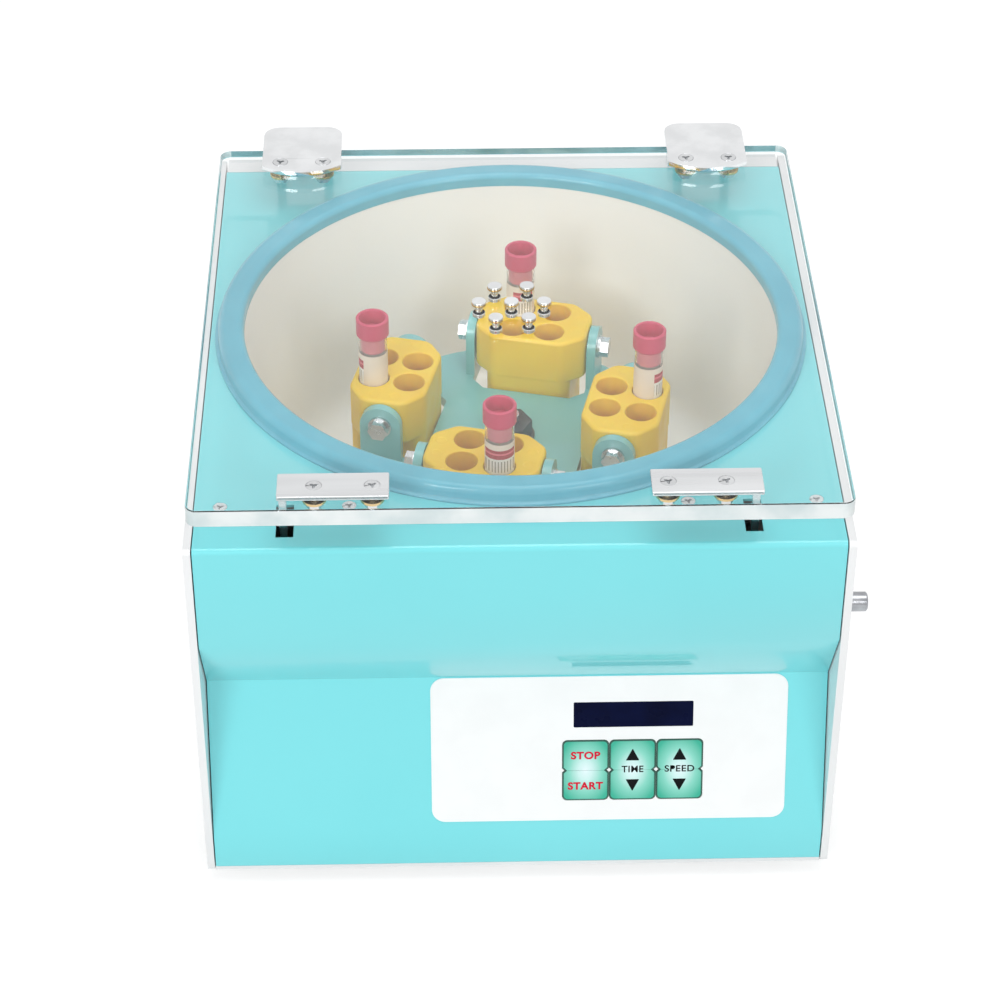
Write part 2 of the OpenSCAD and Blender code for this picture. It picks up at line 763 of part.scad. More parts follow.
// The tube stands in the well that is outward and to the left, seen from outside.
module at_tube(i) {
    at_bucket(i) translate([well_px / 2, well_py / 2, 0]) children();
}
module tube(i) {
    ro = tube_d / 2;
    ri = ro - tube_wall;
    color([0.92, 0.92, 0.9, 0.4]) placed() at_tube(i) translate([0, 0, tube_z + slip])
        rotate_extrude() polygon(concat(arc([0, ro], ro, -90, 0, 8), [[ro, tube_l], [ri, tube_l]],
            arc([0, ro], ri, 0, -90, 8)));
}
module cap(i) {
    r = cap_d / 2;
    rp = tube_d / 2 - tube_wall - slip;
    color([0.81, 0.35, 0.45]) placed() at_tube(i) translate([0, 0, tube_rim_z + 2 * slip])
        rotate_extrude() polygon([[0, -plug_l + 6], [rp - 2.5, -plug_l + 6], [rp - 2, -plug_l],
            [rp - 0.6, -plug_l], [rp, -plug_l + 1], [rp, 0], [r - 0.8, 0], [r, 0.9],
            [r, cap_h - 0.6], [r - 0.6, cap_h], [r - 1.5, cap_h], [r - 1.9, cap_h - 0.6],
            [r - 2.4, 2.6], [0, 2.2]]);
}
module tube_back() {
    tube(0);
}
module tube_right() {
    tube(1);
}
module tube_front() {
    tube(2);
}
module tube_left() {
    tube(3);
}
module cap_back() {
    cap(0);
}
module cap_right() {
    cap(1);
}
module cap_front() {
    cap(2);
}
module cap_left() {
    cap(3);
}

lid_screw_d = 5;
stud_r = 17.7;
stud_y = 175;
stud_stem_d = 4;
stud_washer_d = 7;
function stud_at(i) = i == 0 ? [0, stud_y] :
    [stud_r * cos(60 * i), stud_y + stud_r * sin(60 * i)];

// The places of the screws through one side of the lid.
module at_lid_screws() {
    for (dx = [-1, 1]) translate([hinge_x + dx * leaf_screw_dx, leaf_screw_y, 0]) children();
    for (d = latch_screws) translate([strap_x - d, latch_screw_y, 0]) children();
}

module lid() {
    d = lid_back_y + lid_front;
    color([0.85, 0.95, 0.95, 0.3]) placed() difference() {
        translate([0, d / 2 - lid_front, lid_z]) linear_extrude(lid_t)
            rounded_rect(lid_w, d, lid_corner);
        both_sides() at_lid_screws() translate([0, 0, lid_z - 1])
            cylinder(d = lid_screw_d + 0.6, h = lid_t + 2);
        both_sides() translate([strap_x - strap_t - clear, strap_y - clear, lid_z - 1])
            cube([strap_t + 2 * clear, strap_d + 2 * clear, lid_t + 2]);
        for (i = [0:6]) translate([stud_at(i)[0], stud_at(i)[1], lid_z - 1])
            cylinder(d = stud_stem_d + 0.2, h = lid_t + 2);
    }
}
module lid_studs() {
    color([0.8, 0.81, 0.8]) placed() for (i = [0:6])
        translate([stud_at(i)[0], stud_at(i)[1], 0]) {
            translate([0, 0, lid_top]) rotate_extrude() polygon([[0, 0], [4.1, 0], [4.1, 1.6],
                [3.4, 2.4], [0, 2.6]]);
            translate([0, 0, lid_z - 2]) cylinder(d = stud_stem_d, h = lid_t + 2.5);
            translate([0, 0, lid_z - 2.4]) cylinder(d = stud_washer_d, h = 2.4);
        }
}

leaf_z = lid_top;
barrel_w = 22;
barrel_r = 5.4;
axle_z = leaf_z - barrel_r + 0.4;
leaf_sag = 8;
leaf_bow = ((leaf_w / 2) * (leaf_w / 2) + leaf_sag * leaf_sag) / (2 * leaf_sag);
leaf_half = asin(leaf_w / 2 / leaf_bow);
leaf_corner = 9;

module hinge_leaf() {
    rc = leaf_corner;
    w = leaf_w / 2;
    difference() {
        union() {
            translate([hinge_x, 0, leaf_z]) linear_extrude(leaf_t) polygon(concat(
                arc([0, leaf_front + leaf_bow], leaf_bow, -90 - leaf_half, -90 + leaf_half, 8),
                arc([w - rc, leaf_back - rc], rc, 0, 90, 5),
                arc([-w + rc, leaf_back - rc], rc, 90, 180, 5)));
            translate([hinge_x - barrel_w / 2, hinge_y, axle_z]) rotate([0, 90, 0])
                cylinder(r = barrel_r, h = barrel_w);
            translate([hinge_x - barrel_w / 2, hinge_y - barrel_r + 0.6, axle_z])
                cube([barrel_w, 2 * barrel_r - 1.2, leaf_z - axle_z + 1]);
        }
        translate([hinge_x - barrel_w, hinge_y, axle_z]) rotate([0, 90, 0])
            cylinder(r = pin_d / 2 + fit, h = 2 * barrel_w);
        for (dx = [-1, 1]) translate([hinge_x + dx * leaf_screw_dx, leaf_screw_y, leaf_z + leaf_t])
            flat_screw_hole(leaf_head_d, lid_screw_d, hole_len);
    }
}
module hinge_leaves() {
    color([0.85, 0.86, 0.87]) placed() both_sides() hinge_leaf();
}
bracket_ear = 5.5;
bracket_gap = 0.3;
bracket_screw_dx = 6;
bracket_screw_y = rear_y - 5;
bracket_r = 4.6;
bracket_t = 2.5;
bracket_side = 3;
bracket_drop = 14;
bracket_head_d = 5.5;
module hinge_bracket() {
    half = barrel_w / 2 + bracket_gap + bracket_ear;
    difference() {
        union() {
            translate([hinge_x - half - bracket_side, deck_d + 1, deck_z])
                cube([2 * (half + bracket_side), rear_rail - 2, bracket_t]);
            for (s = [-1, 1]) translate([hinge_x + s * (half - bracket_ear / 2), 0, 0]) {
                translate([-bracket_ear / 2, hinge_y, axle_z]) rotate([0, 90, 0])
                    cylinder(r = bracket_r, h = bracket_ear);
                translate([-bracket_ear / 2, 0, 0]) rotate([90, 0, 90]) linear_extrude(bracket_ear)
                    polygon([[hinge_y - bracket_r, axle_z], [hinge_y + 3, axle_z],
                        [hinge_y + 3, axle_z - bracket_drop], [rear_y - 5, deck_z + 6],
                        [rear_y - 5, deck_z + 1], [deck_d + 1, deck_z + 1],
                        [hinge_y - bracket_r, axle_z - bracket_drop]]);
            }
        }
        translate([hinge_x - 40, hinge_y, axle_z]) rotate([0, 90, 0])
            cylinder(r = pin_d / 2 + slip, h = 80);
        for (dx = [-1, 1])
            translate([hinge_x + dx * bracket_screw_dx, bracket_screw_y, deck_z - 1])
                cylinder(d = bracket_bolt_d + 2 * slip, h = 20);
    }
}
module hinge_brackets() {
    color([0.8, 0.81, 0.82]) placed() both_sides() hinge_bracket();
}
module hinge_pins() {
    half = barrel_w / 2 + bracket_gap + bracket_ear;
    color([0.6, 0.61, 0.62]) placed() both_sides()
        translate([hinge_x - half - 0.5, hinge_y, axle_z]) rotate([0, 90, 0])
            cylinder(d = pin_d, h = 2 * half + 1);
}
module hinge_bracket_screws() {
    color([0.75, 0.76, 0.78]) placed() both_sides() for (dx = [-1, 1])
        translate([hinge_x + dx * bracket_screw_dx, bracket_screw_y, 0]) {
            translate([0, 0, deck_z + bracket_t + slip]) cylinder(d = bracket_head_d, h = washer_t);
            translate([0, 0, deck_z - sheet - 3]) cylinder(d = bracket_bolt_d, h = sheet + 6);
        }
}

tail = 5.5;
module lid_screws() {
    color([0.8, 0.81, 0.82]) placed() both_sides() {
        for (dx = [-1, 1]) translate([hinge_x + dx * leaf_screw_dx, leaf_screw_y, leaf_z + leaf_t])
            flat_screw(leaf_head_d, lid_screw_d, leaf_t + lid_t + tail);
        for (d = latch_screws) translate([strap_x - d, latch_screw_y, lid_top + latch_t])
            flat_screw(latch_head_d, lid_screw_d, latch_t + lid_t + tail);
    }
}
lid_washer_d = 12.4;
lid_nut_af = 8;
lid_nut_h = 3.3;
module lid_washers() {
    color([0.78, 0.62, 0.35]) placed() both_sides() at_lid_screws()
        translate([0, 0, lid_z - washer_t])
            ring(lid_washer_d / 2, lid_screw_d / 2 + slip, washer_t - slip);
}
module lid_nuts() {
    color([0.8, 0.81, 0.82]) placed() both_sides() at_lid_screws()
        translate([0, 0, lid_z - washer_t - lid_nut_h - 0.1]) difference() {
            hex_prism(lid_nut_af, lid_nut_h);
            translate([0, 0, -1]) cylinder(d = lid_screw_d + 2 * slip, h = 8);
        }
}

// The right latch; the left one is its mirror image, but both notches open to the right.
module latch_hook(notch_x) {
    x0 = strap_x - strap_t;
    difference() {
        union() {
            translate([strap_x - latch_l, latch_y, lid_top]) cube([latch_l, latch_d, latch_t]);
            translate([x0, strap_y, strap_z]) cube([strap_t, strap_d, lid_top - strap_z + 1]);
        }
        for (d = latch_screws) translate([strap_x - d, latch_screw_y, lid_top + latch_t])
            flat_screw_hole(latch_head_d, lid_screw_d, hole_len);
        translate([notch_x, strap_y - 1, notch_z])
            cube([notch_deep + 1, strap_d + 2, notch_h]);
    }
}
module latch_hooks() {
    color([0.85, 0.86, 0.86]) placed() {
        latch_hook(strap_x - notch_deep);
        mirror([1, 0, 0]) latch_hook(strap_x - strap_t - 1);
    }
}

guide_x = [deck_screw_x[0] - 6.3, deck_screw_x[1] + 6.2];
guide_w = 12;
guide_y = deck_screw_y - 6;
guide_web = 3;
module lock_guide() {
    z1 = deck_z - sheet;
    z0 = lock_z - 10;
    difference() {
        union() {
            for (x = [guide_x[0], guide_x[1] - guide_w]) {
                translate([x, guide_y, z1 - 5]) cube([guide_w, 12, 5]);
                translate([x + guide_w / 2 - 2, lock_y - 9, z0]) cube([4, 24, z1 - z0]);
            }
            translate([guide_x[0], guide_y + 12, z1 - 12])
                cube([guide_x[1] - guide_x[0], guide_web, 12]);
        }
        for (x = deck_screw_x) translate([x, deck_screw_y, deck_z])
            flat_screw_hole(panel_head_d, panel_shank_d, hole_len);
        translate([0, lock_y, lock_z]) rotate([0, 90, 0]) cylinder(r = lock_d / 2 + fit, h = 200);
    }
}
module lock_guides() {
    color([0.65, 0.67, 0.7]) placed() both_sides() lock_guide();
}

// The rod that runs through the guides, with a finger beside each latch strap.
finger_t = 3;
finger_l = 6;
finger_gap = lock_travel - 1.8;
module finger(face_x) {
    z = notch_z + (notch_h - finger_t) / 2;
    translate([face_x + finger_gap + 3, lock_y - 3, lock_z]) cube([4, 6, z - lock_z + finger_t]);
    translate([face_x + finger_gap, lock_y - 2, z]) cube([finger_l, 4, finger_t]);
}
module lock_bar() {
    color([0.7, 0.72, 0.74]) placed() union() {
        translate([-guide_x[1], lock_y, lock_z]) rotate([0, 90, 0])
            cylinder(d = lock_d, h = guide_x[1] + side_x + 1);
        finger(strap_x);
        finger(-strap_x + strap_t);
    }
}
module release_knob() {
    color([0.82, 0.83, 0.85]) placed() translate([side_x + 1.02, lock_y, lock_z])
        rotate([0, 90, 0]) rotate_extrude() polygon([[0, 0], [knob_d / 2 - 0.5, 0],
            [knob_d / 2, 0.5], [knob_d / 2, knob_out - 1.8], [knob_d / 2 - 0.8, knob_out - 1.02],
            [0, knob_out - 1.02]]);
}

module power_inlet() {
    color([0.1, 0.1, 0.1]) placed() translate([inlet_x, rear_y, inlet_z]) rotate([90, 0, 0])
        difference() {
            union() {
                translate([0, 0, -inlet_proud]) linear_extrude(inlet_proud - 0.02)
                    rounded_rect(48, 24, 3);
                translate([0, 0, -1]) linear_extrude(27) rounded_rect(inlet_w - 0.4, inlet_h - 0.4, 1);
            }
            translate([0, 0, -inlet_proud - 1]) linear_extrude(18)
                polygon([[-11.5, -7.5], [11.5, -7.5], [11.5, 4], [7.5, 7.5], [-7.5, 7.5], [-11.5, 4]]);
        }
}
module power_switch() {
    color([0.1, 0.1, 0.1]) placed() translate([switch_x, rear_y, inlet_z]) rotate([90, 0, 0])
        difference() {
            union() {
                translate([0, 0, -2]) linear_extrude(1.98) rounded_rect(22, 30, 1.5);
                translate([0, 0, -1]) linear_extrude(20)
                    rounded_rect(switch_w - 0.4, switch_h - 0.4, 1);
            }
            translate([0, 0, -3]) linear_extrude(17) square([12.6, 22.6], center = true);
            translate([-10, 0, rocker_in]) rotate([0, 90, 0]) cylinder(r = 1.5 + fit, h = 20);
        }
}
rocker_tilt = 9;
module power_rocker() {
    color([0.15, 0.15, 0.15]) placed() translate([switch_x, rear_y - rocker_in, inlet_z])
        rotate([-rocker_tilt, 0, 0]) union() {
            translate([-5.8, 0, 0]) rotate([90, 0, 90]) linear_extrude(11.6)
                polygon([[4.2, -9.8], [3, 0], [4.2, 9.8], [-1, 9.4], [-5, 3], [-5, -3], [-1, -9.4]]);
            translate([-7.5, 0, 0]) rotate([0, 90, 0]) cylinder(r = 1.5, h = 15);
        }
}

top_cover();
side_panel_left();
side_panel_right();
rear_panel();
base_tray();
feet();
foot_screws();
deck_screws();
case_screws();
bowl();
seal_ring();
control_label();
display_window();
display_module();
control_board();
key_stop();
key_start();
key_time_up();
key_time_down();
key_speed_up();
key_speed_down();
motor_plate();
motor_dampers();
motor_body();
motor_bearings();
motor_shaft();
motor_drive();
rotor_head();
hub_nut();
trunnion_bolts();
bucket_back();
bucket_right();
bucket_front();
bucket_left();
tube_back();
tube_right();
tube_front();
tube_left();
cap_back();
cap_right();
cap_front();
cap_left();
lid();
lid_studs();
hinge_leaves();
hinge_brackets();
hinge_pins();
hinge_bracket_screws();
lid_screws();
lid_washers();
lid_nuts();
latch_hooks();
lock_guides();
lock_bar();
release_knob();
power_inlet();
power_switch();
power_rocker();
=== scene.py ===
# Bench centrifuge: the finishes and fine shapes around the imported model
import json
import math

import bmesh
import bpy
from mathutils import Matrix, Vector

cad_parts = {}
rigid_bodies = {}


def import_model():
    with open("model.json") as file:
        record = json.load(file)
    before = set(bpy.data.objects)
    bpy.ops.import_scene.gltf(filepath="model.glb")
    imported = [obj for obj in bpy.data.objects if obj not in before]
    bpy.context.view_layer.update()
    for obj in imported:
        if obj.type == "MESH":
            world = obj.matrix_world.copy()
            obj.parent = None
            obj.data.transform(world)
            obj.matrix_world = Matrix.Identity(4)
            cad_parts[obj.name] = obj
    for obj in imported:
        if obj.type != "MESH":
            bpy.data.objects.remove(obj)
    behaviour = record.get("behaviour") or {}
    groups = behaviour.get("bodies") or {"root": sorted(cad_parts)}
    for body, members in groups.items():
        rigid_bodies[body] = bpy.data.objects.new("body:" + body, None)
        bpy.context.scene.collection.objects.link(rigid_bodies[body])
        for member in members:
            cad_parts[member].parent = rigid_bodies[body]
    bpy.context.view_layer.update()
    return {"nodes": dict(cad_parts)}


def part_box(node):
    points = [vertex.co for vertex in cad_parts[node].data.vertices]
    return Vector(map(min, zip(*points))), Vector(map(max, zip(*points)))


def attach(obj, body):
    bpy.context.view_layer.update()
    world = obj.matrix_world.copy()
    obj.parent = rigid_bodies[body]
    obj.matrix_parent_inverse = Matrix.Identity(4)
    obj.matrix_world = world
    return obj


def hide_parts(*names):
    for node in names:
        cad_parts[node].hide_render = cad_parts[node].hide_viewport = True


for leftover in list(bpy.data.objects):
    bpy.data.objects.remove(leftover)
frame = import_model()
nodes = frame["nodes"]
scene = bpy.context.scene
mm = 0.001

# places that everything else hangs on, read from the model
coverLow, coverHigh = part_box("top_cover")
caseX = (coverLow.x + coverHigh.x) / 2
frontY = coverLow.y
deckZ = coverHigh.z
lidLow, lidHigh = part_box("lid")
hubLow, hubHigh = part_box("hub_nut")
axis = Vector(((hubLow.x + hubHigh.x) / 2, (hubLow.y + hubHigh.y) / 2, 0))
sides = ("back", "right", "front", "left")
print("frame loaded:", len(nodes), "nodes")


# camera, at the photo's angle

photoCamera = {
    "place": (-0.04455, -1.32911, 1.13491),
    "lens": 104.68,
    "yaw": -0.025028,
    "pitch": -0.65143,
    "roll": -0.002182,
}


def makeCamera(spec):
    data = bpy.data.cameras.new("photoCamera")
    data.lens = spec["lens"]
    data.sensor_width = 36
    data.clip_start = 0.05
    data.clip_end = 50
    camera = bpy.data.objects.new("photoCamera", data)
    scene.collection.objects.link(camera)
    turn = Matrix.Rotation(spec["yaw"], 4, "Z") @ Matrix.Rotation(spec["pitch"], 4, "X")
    turn = turn @ Matrix.Rotation(spec["roll"], 4, "Y") @ Matrix.Rotation(math.pi / 2, 4, "X")
    camera.matrix_world = Matrix.Translation(spec["place"]) @ turn
    scene.camera = camera


makeCamera(photoCamera)
print("camera set")


# studio: white surroundings, soft boxes at both sides and above, pale floor

studio = {
    "sky": 0.56,
    "floorSize": 12.0,
    "floorColour": (0.66, 0.67, 0.67),
    "floorLift": 0.5,
    "boxes": (
        {"name": "leftBox", "place": (-1.15, -2.2, 1.45), "size": 1.0, "power": 23},
        {"name": "rightBox", "place": (1.1, -2.25, 1.45), "size": 1.0, "power": 15},
        {"name": "topBox", "place": (0.1, -0.1, 2.6), "size": 1.5, "power": 16},
    ),
}


def seenDirectly(tree):
    # 1 for rays that show the surroundings: to the eye, in gloss and through glass
    rays = tree.nodes.new("ShaderNodeLightPath")
    shown = rays.outputs["Is Camera Ray"]
    for other in ("Is Glossy Ray", "Is Transmission Ray"):
        either = tree.nodes.new("ShaderNodeMath")
        either.operation = "MAXIMUM"
        tree.links.new(shown, either.inputs[0])
        tree.links.new(rays.outputs[other], either.inputs[1])
        shown = either.outputs[0]
    return shown


def makeStudio(spec):
    world = bpy.data.worlds.new("studioWhite")
    world.use_nodes = True
    sky = world.node_tree.nodes["Background"]
    level = world.node_tree.nodes.new("ShaderNodeMapRange")
    level.inputs["To Min"].default_value = spec["sky"]
    level.inputs["To Max"].default_value = 1.0
    world.node_tree.links.new(seenDirectly(world.node_tree), level.inputs["Value"])
    world.node_tree.links.new(level.outputs["Result"], sky.inputs["Strength"])
    sky.inputs["Color"].default_value = (1, 1, 1, 1)
    scene.world = world
    for box in spec["boxes"]:
        lamp = bpy.data.lights.new(box["name"], "AREA")
        lamp.shape = "SQUARE"
        lamp.size = box["size"]
        lamp.energy = box["power"]
        holder = bpy.data.objects.new(box["name"], lamp)
        scene.collection.objects.link(holder)
        aim = Vector((0, 0, 0.15)) - Vector(box["place"])
        holder.matrix_world = Matrix.Translation(box["place"]) @ aim.to_track_quat("-Z", "Y").to_matrix().to_4x4()


def makeFloor(spec):
    half = spec["floorSize"] / 2
    mesh = bpy.data.meshes.new("floor")
    mesh.from_pydata([(-half, -half, 0), (half, -half, 0), (half, half, 0), (-half, half, 0)], [], [(0, 1, 2, 3)])
    floor = bpy.data.objects.new("floor", mesh)
    scene.collection.objects.link(floor)
    mat = bpy.data.materials.new("paleFloor")
    mat.use_nodes = True
    tree = mat.node_tree
    tree.nodes.remove(tree.nodes["Principled BSDF"])
    matt = tree.nodes.new("ShaderNodeBsdfDiffuse")
    matt.inputs["Color"].default_value = (*spec["floorColour"], 1)
    glow = tree.nodes.new("ShaderNodeEmission")
    lift = tree.nodes.new("ShaderNodeMath")
    lift.operation = "MULTIPLY"
    lift.inputs[1].default_value = spec["floorLift"]
    both = tree.nodes.new("ShaderNodeAddShader")
    tree.links.new(seenDirectly(tree), lift.inputs[0])
    tree.links.new(lift.outputs[0], glow.inputs["Strength"])
    tree.links.new(matt.outputs[0], both.inputs[0])
    tree.links.new(glow.outputs[0], both.inputs[1])
    tree.links.new(both.outputs[0], tree.nodes["Material Output"].inputs["Surface"])
    mesh.materials.append(mat)


scene.view_settings.view_transform = "Standard"
makeStudio(studio)
makeFloor(studio)
print("studio set")


# material building blocks

def newFinish(name, colour, roughness, metallic=0.0, **extra):
    mat = bpy.data.materials.new(name)
    mat.use_nodes = True
    shader = mat.node_tree.nodes["Principled BSDF"]
    shader.inputs["Base Color"].default_value = (*colour, 1)
    shader.inputs["Roughness"].default_value = roughness
    shader.inputs["Metallic"].default_value = metallic
    for socket, value in extra.items():
        shader.inputs[socket.replace("_", " ")].default_value = value
    return mat


def ownPlace(mat, stretch=(1, 1, 1)):
    tree = mat.node_tree
    coords = tree.nodes.new("ShaderNodeTexCoord")
    mapping = tree.nodes.new("ShaderNodeMapping")
    mapping.inputs["Scale"].default_value = stretch
    tree.links.new(coords.outputs["Object"], mapping.inputs["Vector"])
    return mapping.outputs["Vector"]


def noiseOn(mat, scale, detail=3.0, stretch=(1, 1, 1)):
    noise = mat.node_tree.nodes.new("ShaderNodeTexNoise")
    noise.inputs["Scale"].default_value = scale
    noise.inputs["Detail"].default_value = detail
    mat.node_tree.links.new(ownPlace(mat, stretch), noise.inputs["Vector"])
    return noise.outputs["Fac"]


def mottle(mat, dark, light, scale, detail=3.0, stretch=(1, 1, 1)):
    # colour drifts between two close shades
    tree = mat.node_tree
    ramp = tree.nodes.new("ShaderNodeValToRGB")
    ramp.color_ramp.interpolation = "EASE"
    ramp.color_ramp.elements[0].position = 0.32
    ramp.color_ramp.elements[1].position = 0.68
    ramp.color_ramp.elements[0].color = (*dark, 1)
    ramp.color_ramp.elements[1].color = (*light, 1)
    tree.links.new(noiseOn(mat, scale, detail, stretch), ramp.inputs["Fac"])
    tree.links.new(ramp.outputs["Color"], tree.nodes["Principled BSDF"].inputs["Base Color"])
    return ramp


def patchyGloss(mat, low, high, scale, stretch=(1, 1, 1)):
    tree = mat.node_tree
    spread = tree.nodes.new("ShaderNodeMapRange")
    spread.interpolation_type = "SMOOTHERSTEP"
    spread.inputs["From Min"].default_value = 0.3
    spread.inputs["From Max"].default_value = 0.7
    spread.inputs["To Min"].default_value = low
    spread.inputs["To Max"].default_value = high
    tree.links.new(noiseOn(mat, scale, 4.0, stretch), spread.inputs["Value"])
    tree.links.new(spread.outputs["Result"], tree.nodes["Principled BSDF"].inputs["Roughness"])


def grain(mat, scale, depth, detail=2.0, stretch=(1, 1, 1)):
    # fine relief, depth in metres
    tree = mat.node_tree
    bump = tree.nodes.new("ShaderNodeBump")
    bump.inputs["Strength"].default_value = 0.6
    bump.inputs["Distance"].default_value = depth
    tree.links.new(noiseOn(mat, scale, detail, stretch), bump.inputs["Height"])
    tree.links.new(bump.outputs["Normal"], tree.nodes["Principled BSDF"].inputs["Normal"])


def paint(name, dark, light, roughness, coat=0.0):
    mat = newFinish(name, light, roughness, Coat_Weight=coat, Coat_Roughness=0.03, Coat_IOR=1.45)
    mottle(mat, dark, light, 9)
    patchyGloss(mat, roughness - 0.015, roughness + 0.015, 30)
    grain(mat, 700, 0.00002)
    return mat


def plastic(name, dark, light, roughness, grainDepth=0.00002, **extra):
    mat = newFinish(name, light, roughness, **extra)
    mottle(mat, dark, light, 40)
    patchyGloss(mat, roughness - 0.05, roughness + 0.06, 90)
    grain(mat, 1400, grainDepth)
    return mat


def metal(name, dark, light, low, high, stretch=(1, 1, 1), grainDepth=0.00001):
    mat = newFinish(name, light, low, 1.0)
    mottle(mat, dark, light, 60, 4, stretch)
    patchyGloss(mat, low, high, 120, stretch)
    grain(mat, 900, grainDepth, 2, stretch)
    return mat


def clearPlastic(name, tint, shadowTint, ior, low, high, clarity=1.0, shine=0.5):
    # real refraction to the eye, and light reaches what is behind it
    mat = newFinish(name, tint, low, IOR=ior, Transmission_Weight=clarity, Specular_IOR_Level=shine)
    patchyGloss(mat, low, high, 25)
    tree = mat.node_tree
    rays = tree.nodes.new("ShaderNodeLightPath")
    through = tree.nodes.new("ShaderNodeBsdfTransparent")
    through.inputs["Color"].default_value = (*shadowTint, 1)
    surface = tree.nodes["Principled BSDF"].outputs[0]
    for kind in ("Is Shadow Ray", "Is Diffuse Ray"):
        mix = tree.nodes.new("ShaderNodeMixShader")
        tree.links.new(rays.outputs[kind], mix.inputs["Fac"])
        tree.links.new(surface, mix.inputs[1])
        tree.links.new(through.outputs[0], mix.inputs[2])
        surface = mix.outputs[0]
    tree.links.new(surface, tree.nodes["Material Output"].inputs["Surface"])
    return mat


coverPaint = paint("coverPaint", (0.168, 0.708, 0.754), (0.176, 0.722, 0.768), 0.3, 1.0)
whitePaint = paint("whitePaint", (0.80, 0.805, 0.81), (0.85, 0.855, 0.86), 0.36, 0.3)
bowlEnamel = paint("bowlEnamel", (0.93, 0.92, 0.885), (0.955, 0.945, 0.915), 0.32, 0.3)
rotorPaint = paint("rotorPaint", (0.19, 0.53, 0.535), (0.22, 0.58, 0.58), 0.3, 0.5)
sealRubber = plastic("sealRubber", (0.085, 0.43, 0.56), (0.11, 0.48, 0.61), 0.2)
footRubber = plastic("footRubber", (0.012, 0.012, 0.013), (0.03, 0.03, 0.032), 0.7, 0.00006)
bucketPlastic = plastic("bucketPlastic", (0.95, 0.60, 0.014), (0.97, 0.65, 0.022), 0.34,
                        Subsurface_Weight=0.15, Subsurface_Scale=0.005)
capPlastic = plastic("capPlastic", (0.60, 0.055, 0.12), (0.67, 0.075, 0.15), 0.42)
lidAcrylic = clearPlastic("lidAcrylic", (0.99, 1.0, 0.998), (0.985, 0.995, 0.995), 1.49, 0.0, 0.008, 1.0, 0.18)
tubePlastic = clearPlastic("tubePlastic", (0.98, 0.95, 0.91), (0.97, 0.95, 0.92), 1.25, 0.03, 0.07, 0.9, 0.4)
satinSteel = metal("satinSteel", (0.62, 0.63, 0.64), (0.72, 0.73, 0.74), 0.2, 0.34)
brushedPlate = metal("brushedPlate", (0.66, 0.67, 0.68), (0.75, 0.76, 0.77), 0.2, 0.36, (0.05, 1, 1))
polishedChrome = metal("polishedChrome", (0.74, 0.75, 0.76), (0.83, 0.84, 0.85), 0.05, 0.13)
knobSteel = metal("knobSteel", (0.26, 0.27, 0.29), (0.42, 0.43, 0.45), 0.14, 0.26)
darkSteel = metal("darkSteel", (0.05, 0.065, 0.07), (0.09, 0.11, 0.115), 0.3, 0.45)
washerBrass = metal("washerBrass", (0.62, 0.42, 0.18), (0.76, 0.55, 0.27), 0.18, 0.32)
zincSteel = metal("zincSteel", (0.5, 0.51, 0.5), (0.64, 0.65, 0.66), 0.3, 0.5)
castAluminium = metal("castAluminium", (0.42, 0.43, 0.44), (0.56, 0.57, 0.58), 0.42, 0.6, grainDepth=0.00008)
labelFilm = plastic("labelFilm", (0.90, 0.905, 0.905), (0.925, 0.93, 0.93), 0.34)
displayLens = plastic("displayLens", (0.0008, 0.002, 0.017), (0.0016, 0.004, 0.03), 0.3, 0.000002,
                      Specular_IOR_Level=0.05)
boardMask = plastic("boardMask", (0.01, 0.11, 0.05), (0.02, 0.19, 0.09), 0.35)
blackPlastic = plastic("blackPlastic", (0.014, 0.014, 0.015), (0.03, 0.03, 0.032), 0.42, 0.00004)
keyRimGreen = plastic("keyRimGreen", (0.02, 0.095, 0.07), (0.03, 0.125, 0.09), 0.4)
printRed = plastic("printRed", (0.60, 0.01, 0.035), (0.70, 0.016, 0.05), 0.5, Specular_IOR_Level=0.15)
printBlack = plastic("printBlack", (0.001, 0.0015, 0.002), (0.003, 0.004, 0.005), 0.5, Specular_IOR_Level=0.1)
# pale edge skin: the frosted sawn edge's own tone plus painted light, standing in for light carried along inside the
# acrylic sheet
paintedEdgeLight = plastic("paintedEdgeLight", (0.70, 0.80, 0.81), (0.93, 0.97, 0.97), 0.16, 0.000004,
                    Transmission_Weight=0.16)
# teal edge skin: a painted reflection of the teal deck, seen in the lid's back edge
paintedDeckReflection = plastic("paintedDeckReflection", (0.10, 0.34, 0.38), (0.30, 0.56, 0.60), 0.16, 0.000004,
                   Transmission_Weight=0.16)
print("finishes mixed")


# shape building blocks

def turned(profile, segments=48, closed=False):
    # a profile of (radius, height) turned about Z
    bm = bmesh.new()
    rings = []
    for radius, height in profile:
        if radius < 1e-7:
            rings.append([bm.verts.new((0, 0, height))])
        else:
            angles = [2 * math.pi * k / segments for k in range(segments)]
            rings.append([bm.verts.new((radius * math.cos(a), radius * math.sin(a), height)) for a in angles])
    pairs = list(zip(rings, rings[1:]))
    if closed:
        pairs.append((rings[-1], rings[0]))
    for low, high in pairs:
        for k in range(segments):
            n = (k + 1) % segments
            if len(low) == 1:
                bm.faces.new((low[0], high[n], high[k]))
            elif len(high) == 1:
                bm.faces.new((low[k], low[n], high[0]))
            else:
                bm.faces.new((low[k], low[n], high[n], high[k]))
    bmesh.ops.recalc_face_normals(bm, faces=bm.faces)
    return intoMesh(bm)


def intoMesh(bm):
    mesh = bpy.data.meshes.new("shape")
    bm.to_mesh(mesh)
    bm.free()
    return mesh


def bend(centreR, centreZ, radius, start, stop, steps=6):
    # points along an arc, angles in degrees
    angles = [math.radians(start + (stop - start) * k / steps) for k in range(steps + 1)]
    return [(centreR + radius * math.cos(a), centreZ + radius * math.sin(a)) for a in angles]


